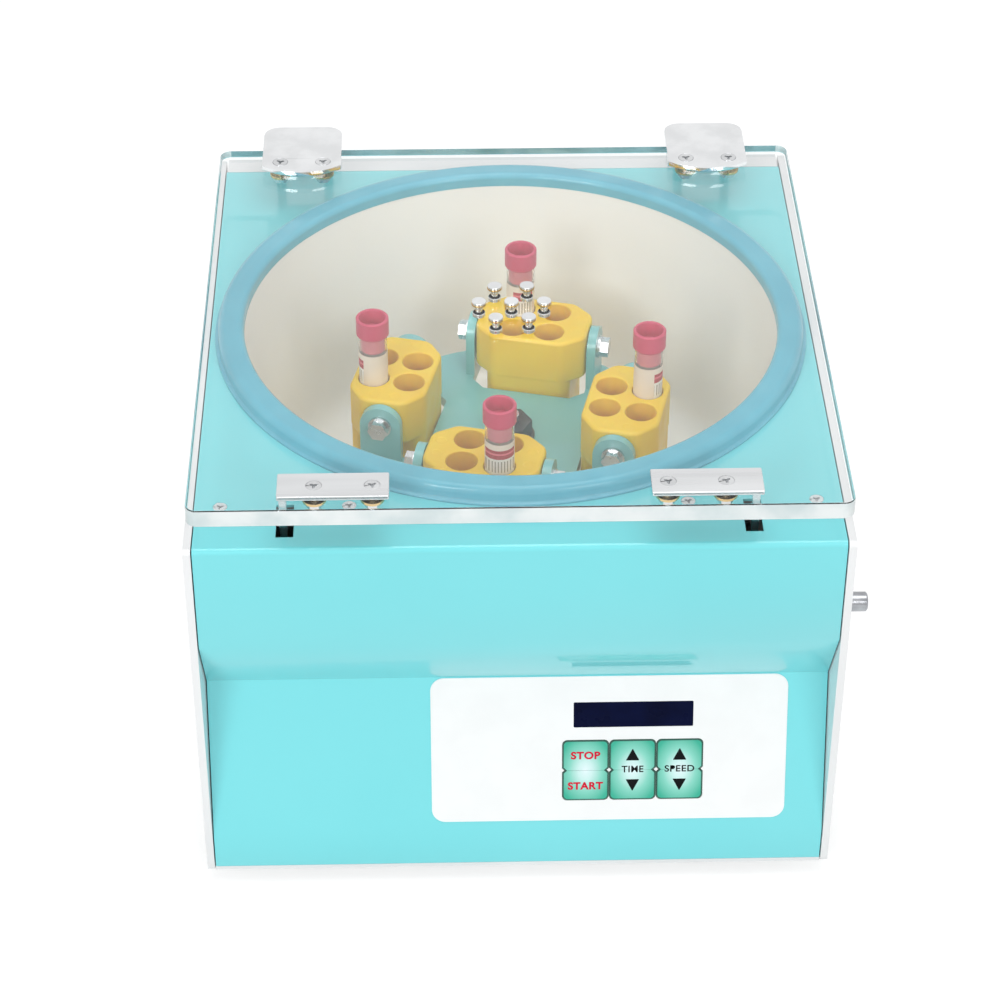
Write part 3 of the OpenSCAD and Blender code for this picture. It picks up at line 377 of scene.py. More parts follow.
def roundCorners(corners, radii, steps=5):
    # closed outline, counter-clockwise, with each corner rounded
    points = [Vector(c) for c in corners]
    if not isinstance(radii, (list, tuple)):
        radii = [radii] * len(points)
    outline = []
    for k, corner in enumerate(points):
        if radii[k] <= 0:
            outline.append(corner.copy())
            continue
        toLast = (points[k - 1] - corner).normalized()
        toNext = (points[(k + 1) % len(points)] - corner).normalized()
        half = toLast.angle(toNext) / 2
        reach = radii[k] / math.tan(half)
        centre = corner + (toLast + toNext).normalized() * (radii[k] / math.sin(half))
        begin = corner + toLast * reach - centre
        turn = math.pi - 2 * half
        if toLast.x * toNext.y - toLast.y * toNext.x > 0:
            turn = -turn
        for s in range(steps + 1):
            a = turn * s / steps
            outline.append(centre + Vector((begin.x * math.cos(a) - begin.y * math.sin(a),
                                            begin.x * math.sin(a) + begin.y * math.cos(a))))
    return outline


def inset(outline, distance):
    # the outline pulled in along its own normals
    moved = []
    for k, point in enumerate(outline):
        a = (point - outline[k - 1]).normalized()
        b = (outline[(k + 1) % len(outline)] - point).normalized()
        normal = Vector((-(a.y + b.y), a.x + b.x)).normalized()
        lean = max(0.4, normal.dot(Vector((-a.y, a.x))))
        moved.append(point + normal * distance / lean)
    return moved


def slab(outline, low, high, edge, steps=3, topOnly=False):
    # an upright solid on an outline, its rims rounded by edge
    levels = [] if topOnly else [(edge * (1 - math.sin(a)), low + edge * (1 - math.cos(a)))
                                 for a in [math.pi / 2 * k / steps for k in range(steps)]]
    levels.append((0, low if topOnly else low + edge))
    levels += [(edge * (1 - math.cos(a)), high - edge * (1 - math.sin(a)))
               for a in [math.pi / 2 * k / steps for k in range(steps + 1)]]
    bm = bmesh.new()
    rows = []
    for pull, z in levels:
        loop = inset(outline, pull) if pull > 0 else outline
        rows.append([bm.verts.new((p.x, p.y, z)) for p in loop])
    for lower, upper in zip(rows, rows[1:]):
        for k in range(len(outline)):
            n = (k + 1) % len(outline)
            bm.faces.new((lower[k], lower[n], upper[n], upper[k]))
    bm.faces.new(list(reversed(rows[0])))
    bm.faces.new(rows[-1])
    bmesh.ops.recalc_face_normals(bm, faces=bm.faces)
    return intoMesh(bm)


def gathered(parts):
    # one mesh from (mesh, matrix) pairs
    bm = bmesh.new()
    for mesh, matrix in parts:
        part = mesh.copy()
        part.transform(matrix)
        bm.from_mesh(part)
        bpy.data.meshes.remove(part)
    return intoMesh(bm)


def combined(mesh, other, operation):
    base = bpy.data.objects.new("base", mesh)
    tool = bpy.data.objects.new("tool", other)
    scene.collection.objects.link(base)
    scene.collection.objects.link(tool)
    change = base.modifiers.new("change", "BOOLEAN")
    change.operation = operation
    change.solver = "EXACT"
    change.object = tool
    bpy.context.view_layer.update()
    made = bpy.data.meshes.new_from_object(base.evaluated_get(bpy.context.evaluated_depsgraph_get()))
    bpy.data.objects.remove(base)
    bpy.data.objects.remove(tool)
    return made


def evenShading(obj):
    # large flat faces stay truly flat beside their rounded rims
    even = obj.modifiers.new("even", "WEIGHTED_NORMAL")
    even.keep_sharp = True
    even.weight = 50


def piece(name, mesh, body, mat, place=None, replaced=(), sharp=38):
    obj = bpy.data.objects.new(name, mesh)
    scene.collection.objects.link(obj)
    mesh.materials.clear()
    mesh.materials.append(mat)
    mesh.shade_smooth()
    mesh.set_sharp_from_angle(angle=math.radians(sharp))
    if place is not None:
        obj.matrix_world = place
    evenShading(obj)
    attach(obj, body)
    if replaced:
        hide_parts(*replaced)
    return obj


def easedShading():
    # drops the stored normals and shades smooth where faces meet at a low angle
    group = bpy.data.node_groups.new("easedShading", "GeometryNodeTree")
    group.interface.new_socket("Geometry", in_out="INPUT", socket_type="NodeSocketGeometry")
    group.interface.new_socket("Geometry", in_out="OUTPUT", socket_type="NodeSocketGeometry")
    start = group.nodes.new("NodeGroupInput")
    end = group.nodes.new("NodeGroupOutput")
    plain = group.nodes.new("GeometryNodeRemoveAttribute")
    plain.inputs["Name"].default_value = "custom_normal"
    smooth = group.nodes.new("GeometryNodeSetShadeSmooth")
    crisp = group.nodes.new("GeometryNodeSetShadeSmooth")
    crisp.domain = "EDGE"
    crisp.inputs["Shade Smooth"].default_value = False
    angle = group.nodes.new("GeometryNodeInputMeshEdgeAngle")
    steep = group.nodes.new("FunctionNodeCompare")
    steep.operation = "GREATER_THAN"
    steep.inputs["B"].default_value = math.radians(33)
    links = group.links
    links.new(start.outputs[0], plain.inputs["Geometry"])
    links.new(plain.outputs[0], smooth.inputs["Geometry"])
    links.new(smooth.outputs[0], crisp.inputs["Geometry"])
    links.new(angle.outputs["Unsigned Angle"], steep.inputs["A"])
    links.new(steep.outputs[0], crisp.inputs["Selection"])
    links.new(crisp.outputs[0], end.inputs[0])
    return group


eased = easedShading()


def dress(name, mat, rounding=0.0, steps=2):
    # a carried-over node: its finish, soft shading and lightly broken edges
    obj = nodes[name]
    for holder in obj.material_slots:
        holder.material = mat
    weld = obj.modifiers.new("join", "WELD")
    weld.merge_threshold = 0.000002
    if rounding > 0:
        bevel = obj.modifiers.new("brokenEdge", "BEVEL")
        bevel.width = rounding
        bevel.segments = steps
        bevel.limit_method = "ANGLE"
        bevel.angle_limit = math.radians(40)
    shade = obj.modifiers.new("shade", "NODES")
    shade.node_group = eased
    evenShading(obj)


# carried-over nodes and their finishes

dressing = {
    "top_cover": (coverPaint, 0.0),
    "side_panel_left": (whitePaint, 0.0005),
    "side_panel_right": (whitePaint, 0.0005),
    "rear_panel": (whitePaint, 0.0),
    "base_tray": (whitePaint, 0.0),
    "feet": (footRubber, 0.0),
    "foot_screws": (satinSteel, 0.0003),
    "bowl": (bowlEnamel, 0.0),
    "display_window": (displayLens, 0.0002),
    "display_module": (boardMask, 0.0),
    "control_board": (boardMask, 0.0),
    "motor_plate": (zincSteel, 0.0004),
    "motor_dampers": (footRubber, 0.001),
    "motor_body": (castAluminium, 0.001),
    "motor_bearings": (satinSteel, 0.0003),
    "motor_drive": (boardMask, 0.0),
    "rotor_head": (rotorPaint, 0.0),
    "hub_nut": (darkSteel, 0.0005),
    "motor_shaft": (satinSteel, 0.0005),
    "trunnion_bolts": (satinSteel, 0.0003),
    "hinge_leaves": (polishedChrome, 0.0004),
    "hinge_brackets": (polishedChrome, 0.0003),
    "hinge_pins": (satinSteel, 0.0002),
    "hinge_bracket_screws": (satinSteel, 0.0003),
    "lid_washers": (washerBrass, 0.0002),
    "lid_nuts": (satinSteel, 0.0003),
    "lock_guides": (zincSteel, 0.0),
    "lock_bar": (zincSteel, 0.0003),
    "release_knob": (knobSteel, 0.0003),
    "power_inlet": (blackPlastic, 0.0004),
    "power_switch": (blackPlastic, 0.0004),
    "power_rocker": (blackPlastic, 0.0003),
}
for side in sides:
    dressing["tube_" + side] = (tubePlastic, 0.0)
    dressing["cap_" + side] = (capPlastic, 0.0)
for name, (mat, rounding) in dressing.items():
    dress(name, mat, rounding)
print("nodes dressed:", len(dressing))


# seal ring: a full round top over a thin lip

seal = {"innerR": 0.1466, "width": 0.0142, "height": 0.0095, "lip": 0.0018, "edge": 0.0042}


def sealRing(spec):
    inner = spec["innerR"]
    outer = inner + spec["width"]
    top = spec["height"]
    edge = spec["edge"]
    profile = [(inner + 0.0096, 0), (outer + spec["lip"] - 0.0004, 0)]
    profile += bend(outer + spec["lip"] - 0.0006, 0.0008, 0.0006, -60, 90, 5)
    profile += [(outer + 0.0004, 0.0018), (outer, 0.0024)]
    profile += bend(outer - edge, top - edge, edge, 0, 90, 9)
    profile += bend(inner + edge * 0.8, top - edge * 0.8, edge * 0.8, 90, 180, 9)
    profile += [(inner, 0.0017), (inner + 0.0096, 0.0017)]
    mesh = turned(profile, 160, closed=True)
    place = Matrix.Translation((axis.x, axis.y, deckZ))
    piece("sealRing", mesh, "root", sealRubber, place, ["seal_ring"], 50)


sealRing(seal)
print("seal ring turned")


# buckets: moulded blocks with four wells

bucketSpec = {
    "length": 0.0648, "width": 0.044, "end": 0.024, "flat": 0.040,
    "corner": 0.0085, "rim": 0.0021,
    "headDrop": 0.028,
    "trunkLength": 0.049, "trunkWidth": 0.043, "trunkCorner": 0.0055,
    "wellR": 0.0087, "wellX": 0.0203, "wellY": 0.021, "mouth": 0.0008, "floor": 0.004,
    "boreR": 0.00305, "boreDepth": 0.0096, "boreDrop": 0.013,
    "markX": 0.0058, "markY": 0.0256, "markR": 0.0034, "markDepth": 0.00035,
}


def octagon(width, length, end, flat):
    w, l, e, f = width / 2, length / 2, end / 2, flat / 2
    return [(-w, -f), (-e, -l), (e, -l), (w, -f), (w, f), (e, l), (-e, l), (-w, f)]


def bucketMesh(spec, low, high):
    head = slab(roundCorners(octagon(spec["width"], spec["length"], spec["end"], spec["flat"]), spec["corner"]),
                high - spec["headDrop"], high, spec["rim"])
    trunkShape = octagon(spec["trunkWidth"], spec["trunkLength"], spec["trunkWidth"] - 0.009,
                         spec["trunkLength"] - 0.008)
    trunk = slab(roundCorners(trunkShape, spec["trunkCorner"]), low, high - spec["headDrop"] / 2, spec["rim"])
    body = combined(head, trunk, "UNION")
    r, m = spec["wellR"], spec["mouth"]
    wellProfile = [(0, low + spec["floor"])] + bend(0, low + spec["floor"] + r, r, -80, 0, 8)
    wellProfile += [(r, high - m)] + bend(r + m, high - m, m, 180, 90, 5)[1:] + [(r + m, high + 0.002), (0, high + 0.002)]
    well = turned(wellProfile, 48)
    cutters = [(well, Matrix.Translation((sx * spec["wellX"] / 2, sy * spec["wellY"] / 2, 0)))
               for sx in (-1, 1) for sy in (-1, 1)]
    bore = turned([(0, 0), (spec["boreR"], 0), (spec["boreR"], 0.03), (0, 0.03)], 32)
    for s in (-1, 1):
        start = s * (spec["length"] / 2 - spec["boreDepth"])
        tilt = Matrix.Rotation(-s * math.pi / 2, 4, "X")
        cutters.append((bore, Matrix.Translation((0, start, high - spec["boreDrop"])) @ tilt))
    r = spec["markR"]
    mark = turned([(0, 0), (r - 0.0009, 0), (r - 0.0004, 0.00009), (r, 0.00037), (r + 0.0002, 0.002), (0, 0.002)], 32)
    for sx in (-1, 1):
        for sy in (-1, 1):
            spot = Matrix.Translation((sx * spec["markX"], sy * spec["markY"], high - spec["markDepth"]))
            cutters.append((mark, spot))
    return combined(body, gathered(cutters), "DIFFERENCE")


def bucketPlace(side):
    low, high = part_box("bucket_" + side)
    centre = (low + high) / 2
    out = Vector((centre.x, centre.y, 0)) - axis
    return Matrix.Translation((centre.x, centre.y, 0)) @ Matrix.Rotation(math.atan2(out.y, out.x), 4, "Z")


bucketLow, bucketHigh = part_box("bucket_back")
moulding = bucketMesh(bucketSpec, bucketLow.z, bucketHigh.z)
for side in sides:
    piece("bucketMoulding_" + side, moulding.copy(), "bucket_" + side, bucketPlastic,
          bucketPlace(side), ["bucket_" + side], 40)
print("buckets moulded")


# paper labels wrapped round the tubes

tubeLabel = {
    "top": 0.0103, "length": 0.052, "radius": 0.00797, "thick": 0.00012, "wrap": 356,
    "facing": {"back": -79, "front": -90, "left": -176, "right": -25},
    "strip": {"wide": 0.0077, "narrow": 0.0056}, "bands": ((0.0036, 0.0055), (0.0067, 0.0093)), "bars": (0.0107, 0.0180),
    "red": (0.46, 0.035, 0.055), "pink": (0.80, 0.20, 0.24), "white": (0.88, 0.86, 0.83), "grey": (0.42, 0.38, 0.35),
}


def printedPaper(spec, width):
    # cream wrap with a white printed front: two red bands and a block of short grey bars
    mat = plastic("printedPaper_" + width, (0.80, 0.69, 0.58), (0.86, 0.76, 0.66), 0.5)
    tree = mat.node_tree
    split = tree.nodes.new("ShaderNodeSeparateXYZ")
    tree.links.new(ownPlace(mat), split.inputs[0])

    def overlap(first, second):
        both = tree.nodes.new("ShaderNodeMath")
        both.operation = "MULTIPLY"
        tree.links.new(first, both.inputs[0])
        tree.links.new(second, both.inputs[1])
        return both.outputs[0]

    def between(value, low, high):
        over = tree.nodes.new("ShaderNodeMath")
        over.operation = "GREATER_THAN"
        over.inputs[1].default_value = low
        under = tree.nodes.new("ShaderNodeMath")
        under.operation = "LESS_THAN"
        under.inputs[1].default_value = high
        tree.links.new(value, over.inputs[0])
        tree.links.new(value, under.inputs[0])
        return overlap(over.outputs[0], under.outputs[0])

    def painted(base, colour, mask):
        mix = tree.nodes.new("ShaderNodeMix")
        mix.data_type = "RGBA"
        mix.inputs[7].default_value = (*colour, 1)
        tree.links.new(mask, mix.inputs[0])
        tree.links.new(base, mix.inputs[6])
        return mix.outputs[2]

    base = tree.nodes["Principled BSDF"].inputs["Base Color"].links[0].from_socket
    half = spec["strip"][width]
    across = overlap(between(split.outputs["X"], -half, half),
                     between(split.outputs["Y"], -1, 0))
    bands = spec["bands"]
    base = painted(base, spec["white"], overlap(across, between(split.outputs["Z"], -1, -bands[0][0])))
    base = painted(base, spec["pink"], overlap(across, between(split.outputs["Z"], -bands[1][1], -bands[0][0])))
    for near, far in bands:
        base = painted(base, spec["red"], overlap(across, between(split.outputs["Z"], -far, -near)))
    stripes = tree.nodes.new("ShaderNodeTexWave")
    stripes.inputs["Scale"].default_value = 190
    stripes.inputs["Distortion"].default_value = 2.5
    tree.links.new(ownPlace(mat, (1, 0, 0)), stripes.inputs["Vector"])
    dark = between(stripes.outputs["Fac"], 0.62, 2.0)
    block = between(split.outputs["Z"], -spec["bars"][1], -spec["bars"][0])
    base = painted(base, spec["grey"], overlap(overlap(dark, block), across))
    tree.links.new(base, tree.nodes["Principled BSDF"].inputs["Base Color"])
    return mat


def wrapMesh(spec, steps=40):
    bm = bmesh.new()
    half = math.radians(spec["wrap"]) / 2
    rows = []
    for k in range(steps + 1):
        a = -half + 2 * half * k / steps
        c, s = math.sin(a), -math.cos(a)
        inner, outer = spec["radius"], spec["radius"] + spec["thick"]
        rows.append([bm.verts.new((inner * c, inner * s, 0)), bm.verts.new((outer * c, outer * s, 0)),
                     bm.verts.new((outer * c, outer * s, -spec["length"])),
                     bm.verts.new((inner * c, inner * s, -spec["length"]))])
    for a, b in zip(rows, rows[1:]):
        for k in range(4):
            bm.faces.new((a[k], b[k], b[(k + 1) % 4], a[(k + 1) % 4]))
    bm.faces.new(rows[0])
    bm.faces.new(list(reversed(rows[-1])))
    bmesh.ops.recalc_face_normals(bm, faces=bm.faces)
    return intoMesh(bm)


papers = {width: printedPaper(tubeLabel, width) for width in ("wide", "narrow")}
for side in sides:
    low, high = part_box("tube_" + side)
    spot = Matrix.Translation(((low.x + high.x) / 2, (low.y + high.y) / 2, high.z - tubeLabel["top"]))
    turn = Matrix.Rotation(math.radians(tubeLabel["facing"][side] + 90), 4, "Z")
    paper = papers["wide" if side == "front" else "narrow"]
    piece("tubeLabel_" + side, wrapMesh(tubeLabel), "bucket_" + side, paper, spot @ turn)
print("tubes labelled")


# flat-headed screws with a three-lobed recess

screwSpec = {
    "hingeHeadR": 0.0043, "latchHeadR": 0.0041, "shankR": 0.0025, "length": 0.0184,
    "panelHeadR": 0.0037, "panelShankR": 0.002, "panelLength": 0.0065,
    "lobeIn": 0.24, "lobeOut": 0.60, "recessDeep": 0.42,
}


def lobedScrew(spec, headR, shankR, length):
    sink = headR - shankR
    body = turned([(0, 0), (headR - 0.0002, 0), (headR, -0.0002), (headR, -0.0004), (shankR, -sink - 0.0004),
                   (shankR, -length), (0, -length)], 40)
    outline = []
    for k in range(42):
        a = 2 * math.pi * k / 42
        swell = (0.5 + 0.5 * math.cos(3 * a - math.pi / 2)) ** 1.6
        reach = headR * (spec["lobeIn"] + (spec["lobeOut"] - spec["lobeIn"]) * swell)
        outline.append(Vector((reach * math.cos(a), reach * math.sin(a))))
    recess = slab(outline, -headR * spec["recessDeep"], 0.0006, 0.00001, 1)
    return combined(body, recess, "DIFFERENCE")


def mirrored(xs):
    return [s * x for s in (-1, 1) for x in xs]


screwPlaces = {
    "hingeX": (0.1059, 0.1307), "hingeY": 0.3235,
    "latchX": (0.0738, 0.1028), "latchY": 0.0105,
    "deckX": (0.0863, 0.1518), "deckY": 0.03,
    "caseY": (0.04, 0.19, 0.34), "caseUp": 0.016,
}


# lid: a polished clear sheet with its holes

lidSpec = {
    "corner": 0.006, "edge": 0.0007, "skinRoom": 0.0002,
    "screwHoleR": 0.00245, "studHoleR": 0.00195,
    "studY": 0.175, "studRing": 0.0177,
    "strapOut": 0.1213, "strapThick": 0.004, "strapFront": 0.0158, "strapDeep": 0.0052, "strapRoom": -0.0001,
}


def rectangle(width, height):
    w, h = width / 2, height / 2
    return [(-w, -h), (w, -h), (w, h), (-w, h)]


def studSpots(spec):
    ring = [(spec["studRing"] * math.cos(math.radians(60 * k)), spec["studRing"] * math.sin(math.radians(60 * k)))
            for k in range(6)]
    return [(caseX + x, frontY + spec["studY"] + y) for x, y in [(0, 0)] + ring]


def makeLid(spec, places):
    middle = (lidLow + lidHigh) / 2
    size = lidHigh - lidLow
    outline = roundCorners(rectangle(size.x, size.y), spec["corner"], 8)
    outline = inset([p + Vector((middle.x, middle.y)) for p in outline], spec["skinRoom"])
    sheet = slab(outline, lidLow.z, lidHigh.z, spec["edge"])
    deep = size.z + 0.004
    screwHole = turned([(0, 0), (spec["screwHoleR"], 0), (spec["screwHoleR"], deep), (0, deep)], 40)
    studHole = turned([(0, 0), (spec["studHoleR"], 0), (spec["studHoleR"], deep), (0, deep)], 32)
    bottom = lidLow.z - 0.002
    cutters = [(studHole, Matrix.Translation((x, y, bottom))) for x, y in studSpots(spec)]
    for xs, y in (("hingeX", places["hingeY"]), ("latchX", places["latchY"])):
        cutters += [(screwHole, Matrix.Translation((caseX + x, frontY + y, bottom))) for x in mirrored(places[xs])]
    room = spec["strapRoom"]
    wide, long = spec["strapThick"] + 2 * room, spec["strapDeep"] + 2 * room
    slot = slab(roundCorners(rectangle(wide, long), 0.0003, 2), bottom, bottom + deep, 0.00001, 2)
    strapMiddle = spec["strapOut"] - spec["strapThick"] / 2
    for x in mirrored((strapMiddle,)):
        cutters.append((slot, Matrix.Translation((caseX + x, frontY + spec["strapFront"] + spec["strapDeep"] / 2, 0))))
    mesh = combined(sheet, gathered(cutters), "DIFFERENCE")
    piece("clearLid", mesh, "lid", lidAcrylic, None, ["lid"], 50)


makeLid(lidSpec, screwPlaces)


# the lid's sawn edges: a thin skin, its frosted edge tone lightened with painted light carried through the sheet, and
# teal at the back as a painted reflection of the deck

edgeSkin = {"depth": 0.0004, "inset": 0.0006, "near": 0.0001}  # deeper than skinRoom, so it meets the acrylic


def edgeStrip(spec, outline, atBack, low, high):
    # the part of the rim that lies along the back edge, or the rest of it
    inner = inset(outline, spec["depth"])
    backY = lidHigh.y - spec["near"]
    bm = bmesh.new()
    rows = [[bm.verts.new((p.x, p.y, z)) for p in loop]
            for loop, z in ((outline, low), (outline, high), (inner, high), (inner, low))]
    for k in range(len(outline)):
        n = (k + 1) % len(outline)
        if (outline[k].y > backY and outline[n].y > backY) != atBack:
            continue
        for a in range(4):
            b = (a + 1) % 4
            bm.faces.new((rows[a][k], rows[a][n], rows[b][n], rows[b][k]))
    bmesh.ops.holes_fill(bm, edges=[e for e in bm.edges if len(e.link_faces) == 1])
    bmesh.ops.delete(bm, geom=[v for v in bm.verts if not v.link_faces], context="VERTS")
    bmesh.ops.recalc_face_normals(bm, faces=bm.faces)
    return intoMesh(bm)


def makeEdgeSkin(spec):
    middle = (lidLow + lidHigh) / 2
    size = lidHigh - lidLow
    corners = roundCorners(rectangle(size.x, size.y), lidSpec["corner"], 8)
    outline = [p + Vector((middle.x, middle.y)) for p in corners]
    low, high = lidLow.z + spec["inset"], lidHigh.z - spec["inset"]
    # sides and front: pale skin with painted light; back: teal painted reflection of the deck
    piece("lidEdges", edgeStrip(spec, outline, False, low, high), "lid", paintedEdgeLight)
    piece("lidEdgeBack", edgeStrip(spec, outline, True, low, high), "lid", paintedDeckReflection)


makeEdgeSkin(edgeSkin)


# studs near the lid's middle: a flat head on a brass ring, a stem and a small nut below

studSpec = {
    "headR": 0.0039, "headHigh": 0.0026, "edge": 0.0003, "stemR": 0.002,
    "ringR": 0.0041, "ringLow": 0.0006, "ringHigh": 0.0013, "nutR": 0.0035, "nutHigh": 0.0024,
}


def makeStuds(spec):
    r, h, e = spec["headR"], spec["headHigh"], spec["edge"]
    thick = lidHigh.z - lidLow.z
    profile = [(0, h)] + [(x, z) for x, z in reversed(bend(r - e, h - e, e, 0, 90, 4))]
    profile += [(r, e), (r - e, 0), (spec["stemR"], 0), (spec["stemR"], -thick)]
    profile += [(spec["nutR"] - e, -thick), (spec["nutR"], -thick - e), (spec["nutR"], -thick - spec["nutHigh"] + e),
                (spec["nutR"] - e, -thick - spec["nutHigh"]), (0, -thick - spec["nutHigh"])]
    stud = turned(profile, 40)
    low, high = spec["ringLow"], spec["ringHigh"]
    ring = turned([(r - 0.0003, low), (spec["ringR"], low), (spec["ringR"], high), (r - 0.0003, high)], 40, closed=True)
    spots = [Matrix.Translation((x, y, lidHigh.z)) for x, y in studSpots(lidSpec)]
    piece("lidStuds", gathered([(stud, spot) for spot in spots]), "lid", polishedChrome, None, ["lid_studs"])
    piece("studRings", gathered([(ring, spot) for spot in spots]), "lid", washerBrass)


makeStuds(studSpec)


# latches: a plate with rounded edges and a notched strap that drops into the deck

latch = {
    "length": 0.056, "depth": 0.02, "thick": 0.0025, "front": 0.001, "corner": 0.0008, "edge": 0.0006,
    "headR": 0.0041, "shankR": 0.0025,
    "strapBottom": 0.0320, "notchUp": 0.0050, "notchHigh": 0.005, "notchDeep": 0.0022,
}


def countersink(headR, shankR, top, deep):
    sink = headR - shankR
    return turned([(0, top + 0.001), (headR, top + 0.001), (headR, top - 0.0004), (shankR, top - sink - 0.0004),
                   (shankR, top - deep), (0, top - deep)], 40)


def latchMesh(spec, side):
    lidTop = lidHigh.z
    out, thick = lidSpec["strapOut"], lidSpec["strapThick"]
    front, deep = lidSpec["strapFront"], lidSpec["strapDeep"]
    middle = side * (out - spec["length"] / 2)
    plateShape = [p + Vector((middle, spec["front"] + spec["depth"] / 2))
                  for p in roundCorners(rectangle(spec["length"], spec["depth"]), spec["corner"], 3)]
    plate = slab(plateShape, lidTop, lidTop + spec["thick"], spec["edge"])
    strapShape = [p + Vector((side * (out - thick / 2), front + deep / 2 - 0.0003))
                  for p in roundCorners(rectangle(thick - 0.0001, deep - 0.0006), 0.0003, 2)]
    strap = slab(strapShape, deckZ - spec["strapBottom"], lidTop + 0.001, 0.0004)
    body = combined(plate, strap, "UNION")
    top = lidTop + spec["thick"]
    cutters = [(countersink(spec["headR"] + 0.00004, spec["shankR"] + 0.00004, top, 0.008),
                Matrix.Translation((side * x, screwPlaces["latchY"], 0))) for x in screwPlaces["latchX"]]
    face = out if side > 0 else -out + thick  # both notches open to the right
    notchShape = rectangle(2 * spec["notchDeep"], 3 * deep)
    low = deckZ - spec["strapBottom"] + spec["notchUp"]
    notch = slab([Vector(p) for p in notchShape], low, low + spec["notchHigh"], 0.00001, 1)
    cutters.append((notch, Matrix.Translation((face, front + deep / 2, 0))))
    return combined(body, gathered(cutters), "DIFFERENCE")


def makeLatches(spec):
    parts = [(latchMesh(spec, side), Matrix.Translation((caseX, frontY, 0))) for side in (-1, 1)]
    piece("latchPlates", gathered(parts), "lid", brushedPlate, None, ["latch_hooks"], 40)


makeLatches(latch)
print("lid and latches cut")


def placeScrews(spec, places):
    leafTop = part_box("hinge_leaves")[1].z
    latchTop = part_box("latch_hooks")[1].z
    turns = [0.1, -0.12, 0.06, -0.05, 0.12, -0.08, 0.02, 0.15]
    longHinge = lobedScrew(spec, spec["hingeHeadR"], spec["shankR"], spec["length"])
    longLatch = lobedScrew(spec, spec["latchHeadR"], spec["shankR"], spec["length"] - 0.0005)
    parts = []
    for k, x in enumerate(mirrored(places["hingeX"])):
        at = (caseX + x, frontY + places["hingeY"], leafTop - 0.00002)
        parts.append((longHinge, Matrix.Translation(at) @ Matrix.Rotation(turns[k], 4, "Z")))
    for k, x in enumerate(mirrored(places["latchX"])):
        at = (caseX + x, frontY + places["latchY"], latchTop - 0.00002)
        parts.append((longLatch, Matrix.Translation(at) @ Matrix.Rotation(turns[k + 4], 4, "Z")))
    piece("lidScrews", gathered(parts), "lid", satinSteel, None, ["lid_screws"])
    short = lobedScrew(spec, spec["panelHeadR"], spec["panelShankR"], spec["panelLength"])
    parts = []
    for k, x in enumerate(mirrored(places["deckX"])):
        at = (caseX + x, frontY + places["deckY"], deckZ - 0.00002)
        parts.append((short, Matrix.Translation(at) @ Matrix.Rotation(turns[k], 4, "Z")))
    piece("deckScrews", gathered(parts), "root", satinSteel, None, ["deck_screws"])
    left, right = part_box("side_panel_left"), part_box("side_panel_right")
    parts = []
    for s, x in ((-1, left[0].x), (1, right[1].x)):
        for k, y in enumerate(places["caseY"]):
            at = (x - s * 0.00002, frontY + y, left[0].z + places["caseUp"])
            parts.append((short, Matrix.Translation(at) @ Matrix.Rotation(s * math.pi / 2, 4, "Y")
                          @ Matrix.Rotation(turns[k], 4, "Z")))
    piece("caseScrews", gathered(parts), "root", satinSteel, None, ["case_screws"])


placeScrews(screwSpec, screwPlaces)
print("screws driven")


# control panel: film label with a window and three pairs of keys

panel = {
    "foot": 0.0337, "recessIn": 0.0257, "rise": 0.0904,
    "labelX": 0.0487, "labelS": 0.050785, "labelW": 0.1908, "labelH": 0.0856, "labelR": 0.0074, "film": 0.0006,
    "windowX": 0.0617, "windowS": 0.071, "windowW": 0.0641, "windowH": 0.0149,
    "keyX": (0.0362, 0.0615, 0.0868), "keyS": 0.0381,
    "keyW": 0.0246, "keyH": 0.01775, "keyR": 0.0026, "notch": 0.0015,
    "keyFront": 0.0011, "keyBack": 0.0012, "rim": 0.0006, "frame": 0.0002,
}
slope = math.atan2(panel["recessIn"], panel["rise"])
panelPlace = Matrix.Translation((caseX, frontY, panel["foot"])) @ Matrix.Rotation(-slope, 4, "X")
upright = Matrix.Rotation(math.pi / 2, 4, "X")  # lays an outline's plane into the panel


def onPanel(x, s, depth=0.0):
    # local frame: x across, y up the slope, z out of the panel
    return panelPlace @ Matrix.Translation((x, -depth, s)) @ upright


def keyOutline(spec, grow=0.0, rimIn=0.0):
    # the upper key of a pair, with a slanted notch at each lower corner
    w = spec["keyW"] / 2 + grow - rimIn
    h = spec["keyH"] + grow - rimIn
    n = spec["notch"] + rimIn * 0.4
    low = 0.00005
    corners = [(-w + n, low), (w - n, low), (w, n + low), (w, h), (-w, h), (-w, n + low)]
    r = spec["keyR"] - rimIn * 0.5
    return roundCorners(corners, [0, 0, 0.0004, r, r, 0.0004], 6)


def pairHole(spec):
    # the hole for both keys of a pair, one outline with a point at each side
    w = spec["keyW"] / 2 + 0.00012
    h = spec["keyH"] + 0.00012
    n = spec["notch"] - 0.0002
    corners = [(-w, -h), (w, -h), (w, -n), (w - n, 0), (w, n), (w, h), (-w, h), (-w, n), (-w + n, 0), (-w, -n)]
    r = spec["keyR"]
    return roundCorners(corners, [r, r, 0, 0, 0, r, r, 0, 0, 0], 6)


def makeLabel(spec):
    film = slab(roundCorners(rectangle(spec["labelW"], spec["labelH"]), spec["labelR"], 10), 0.00002, spec["film"],
                0.00012, 2)
    window = slab(roundCorners(rectangle(spec["windowW"], spec["windowH"]), 0.0006), -0.001, 0.002, 0.0001, 2)
    holes = [(window, Matrix.Translation((spec["windowX"] - spec["labelX"], spec["windowS"] - spec["labelS"], 0)))]
    hole = slab(pairHole(spec), -0.001, 0.002, 0.00001, 2)
    for x in spec["keyX"]:
        holes.append((hole, Matrix.Translation((x - spec["labelX"], spec["keyS"] - spec["labelS"], 0))))
    mesh = combined(film, gathered(holes), "DIFFERENCE")
    piece("labelSheet", mesh, "root", labelFilm, onPanel(spec["labelX"], spec["labelS"]),
          ["control_label"], 30)


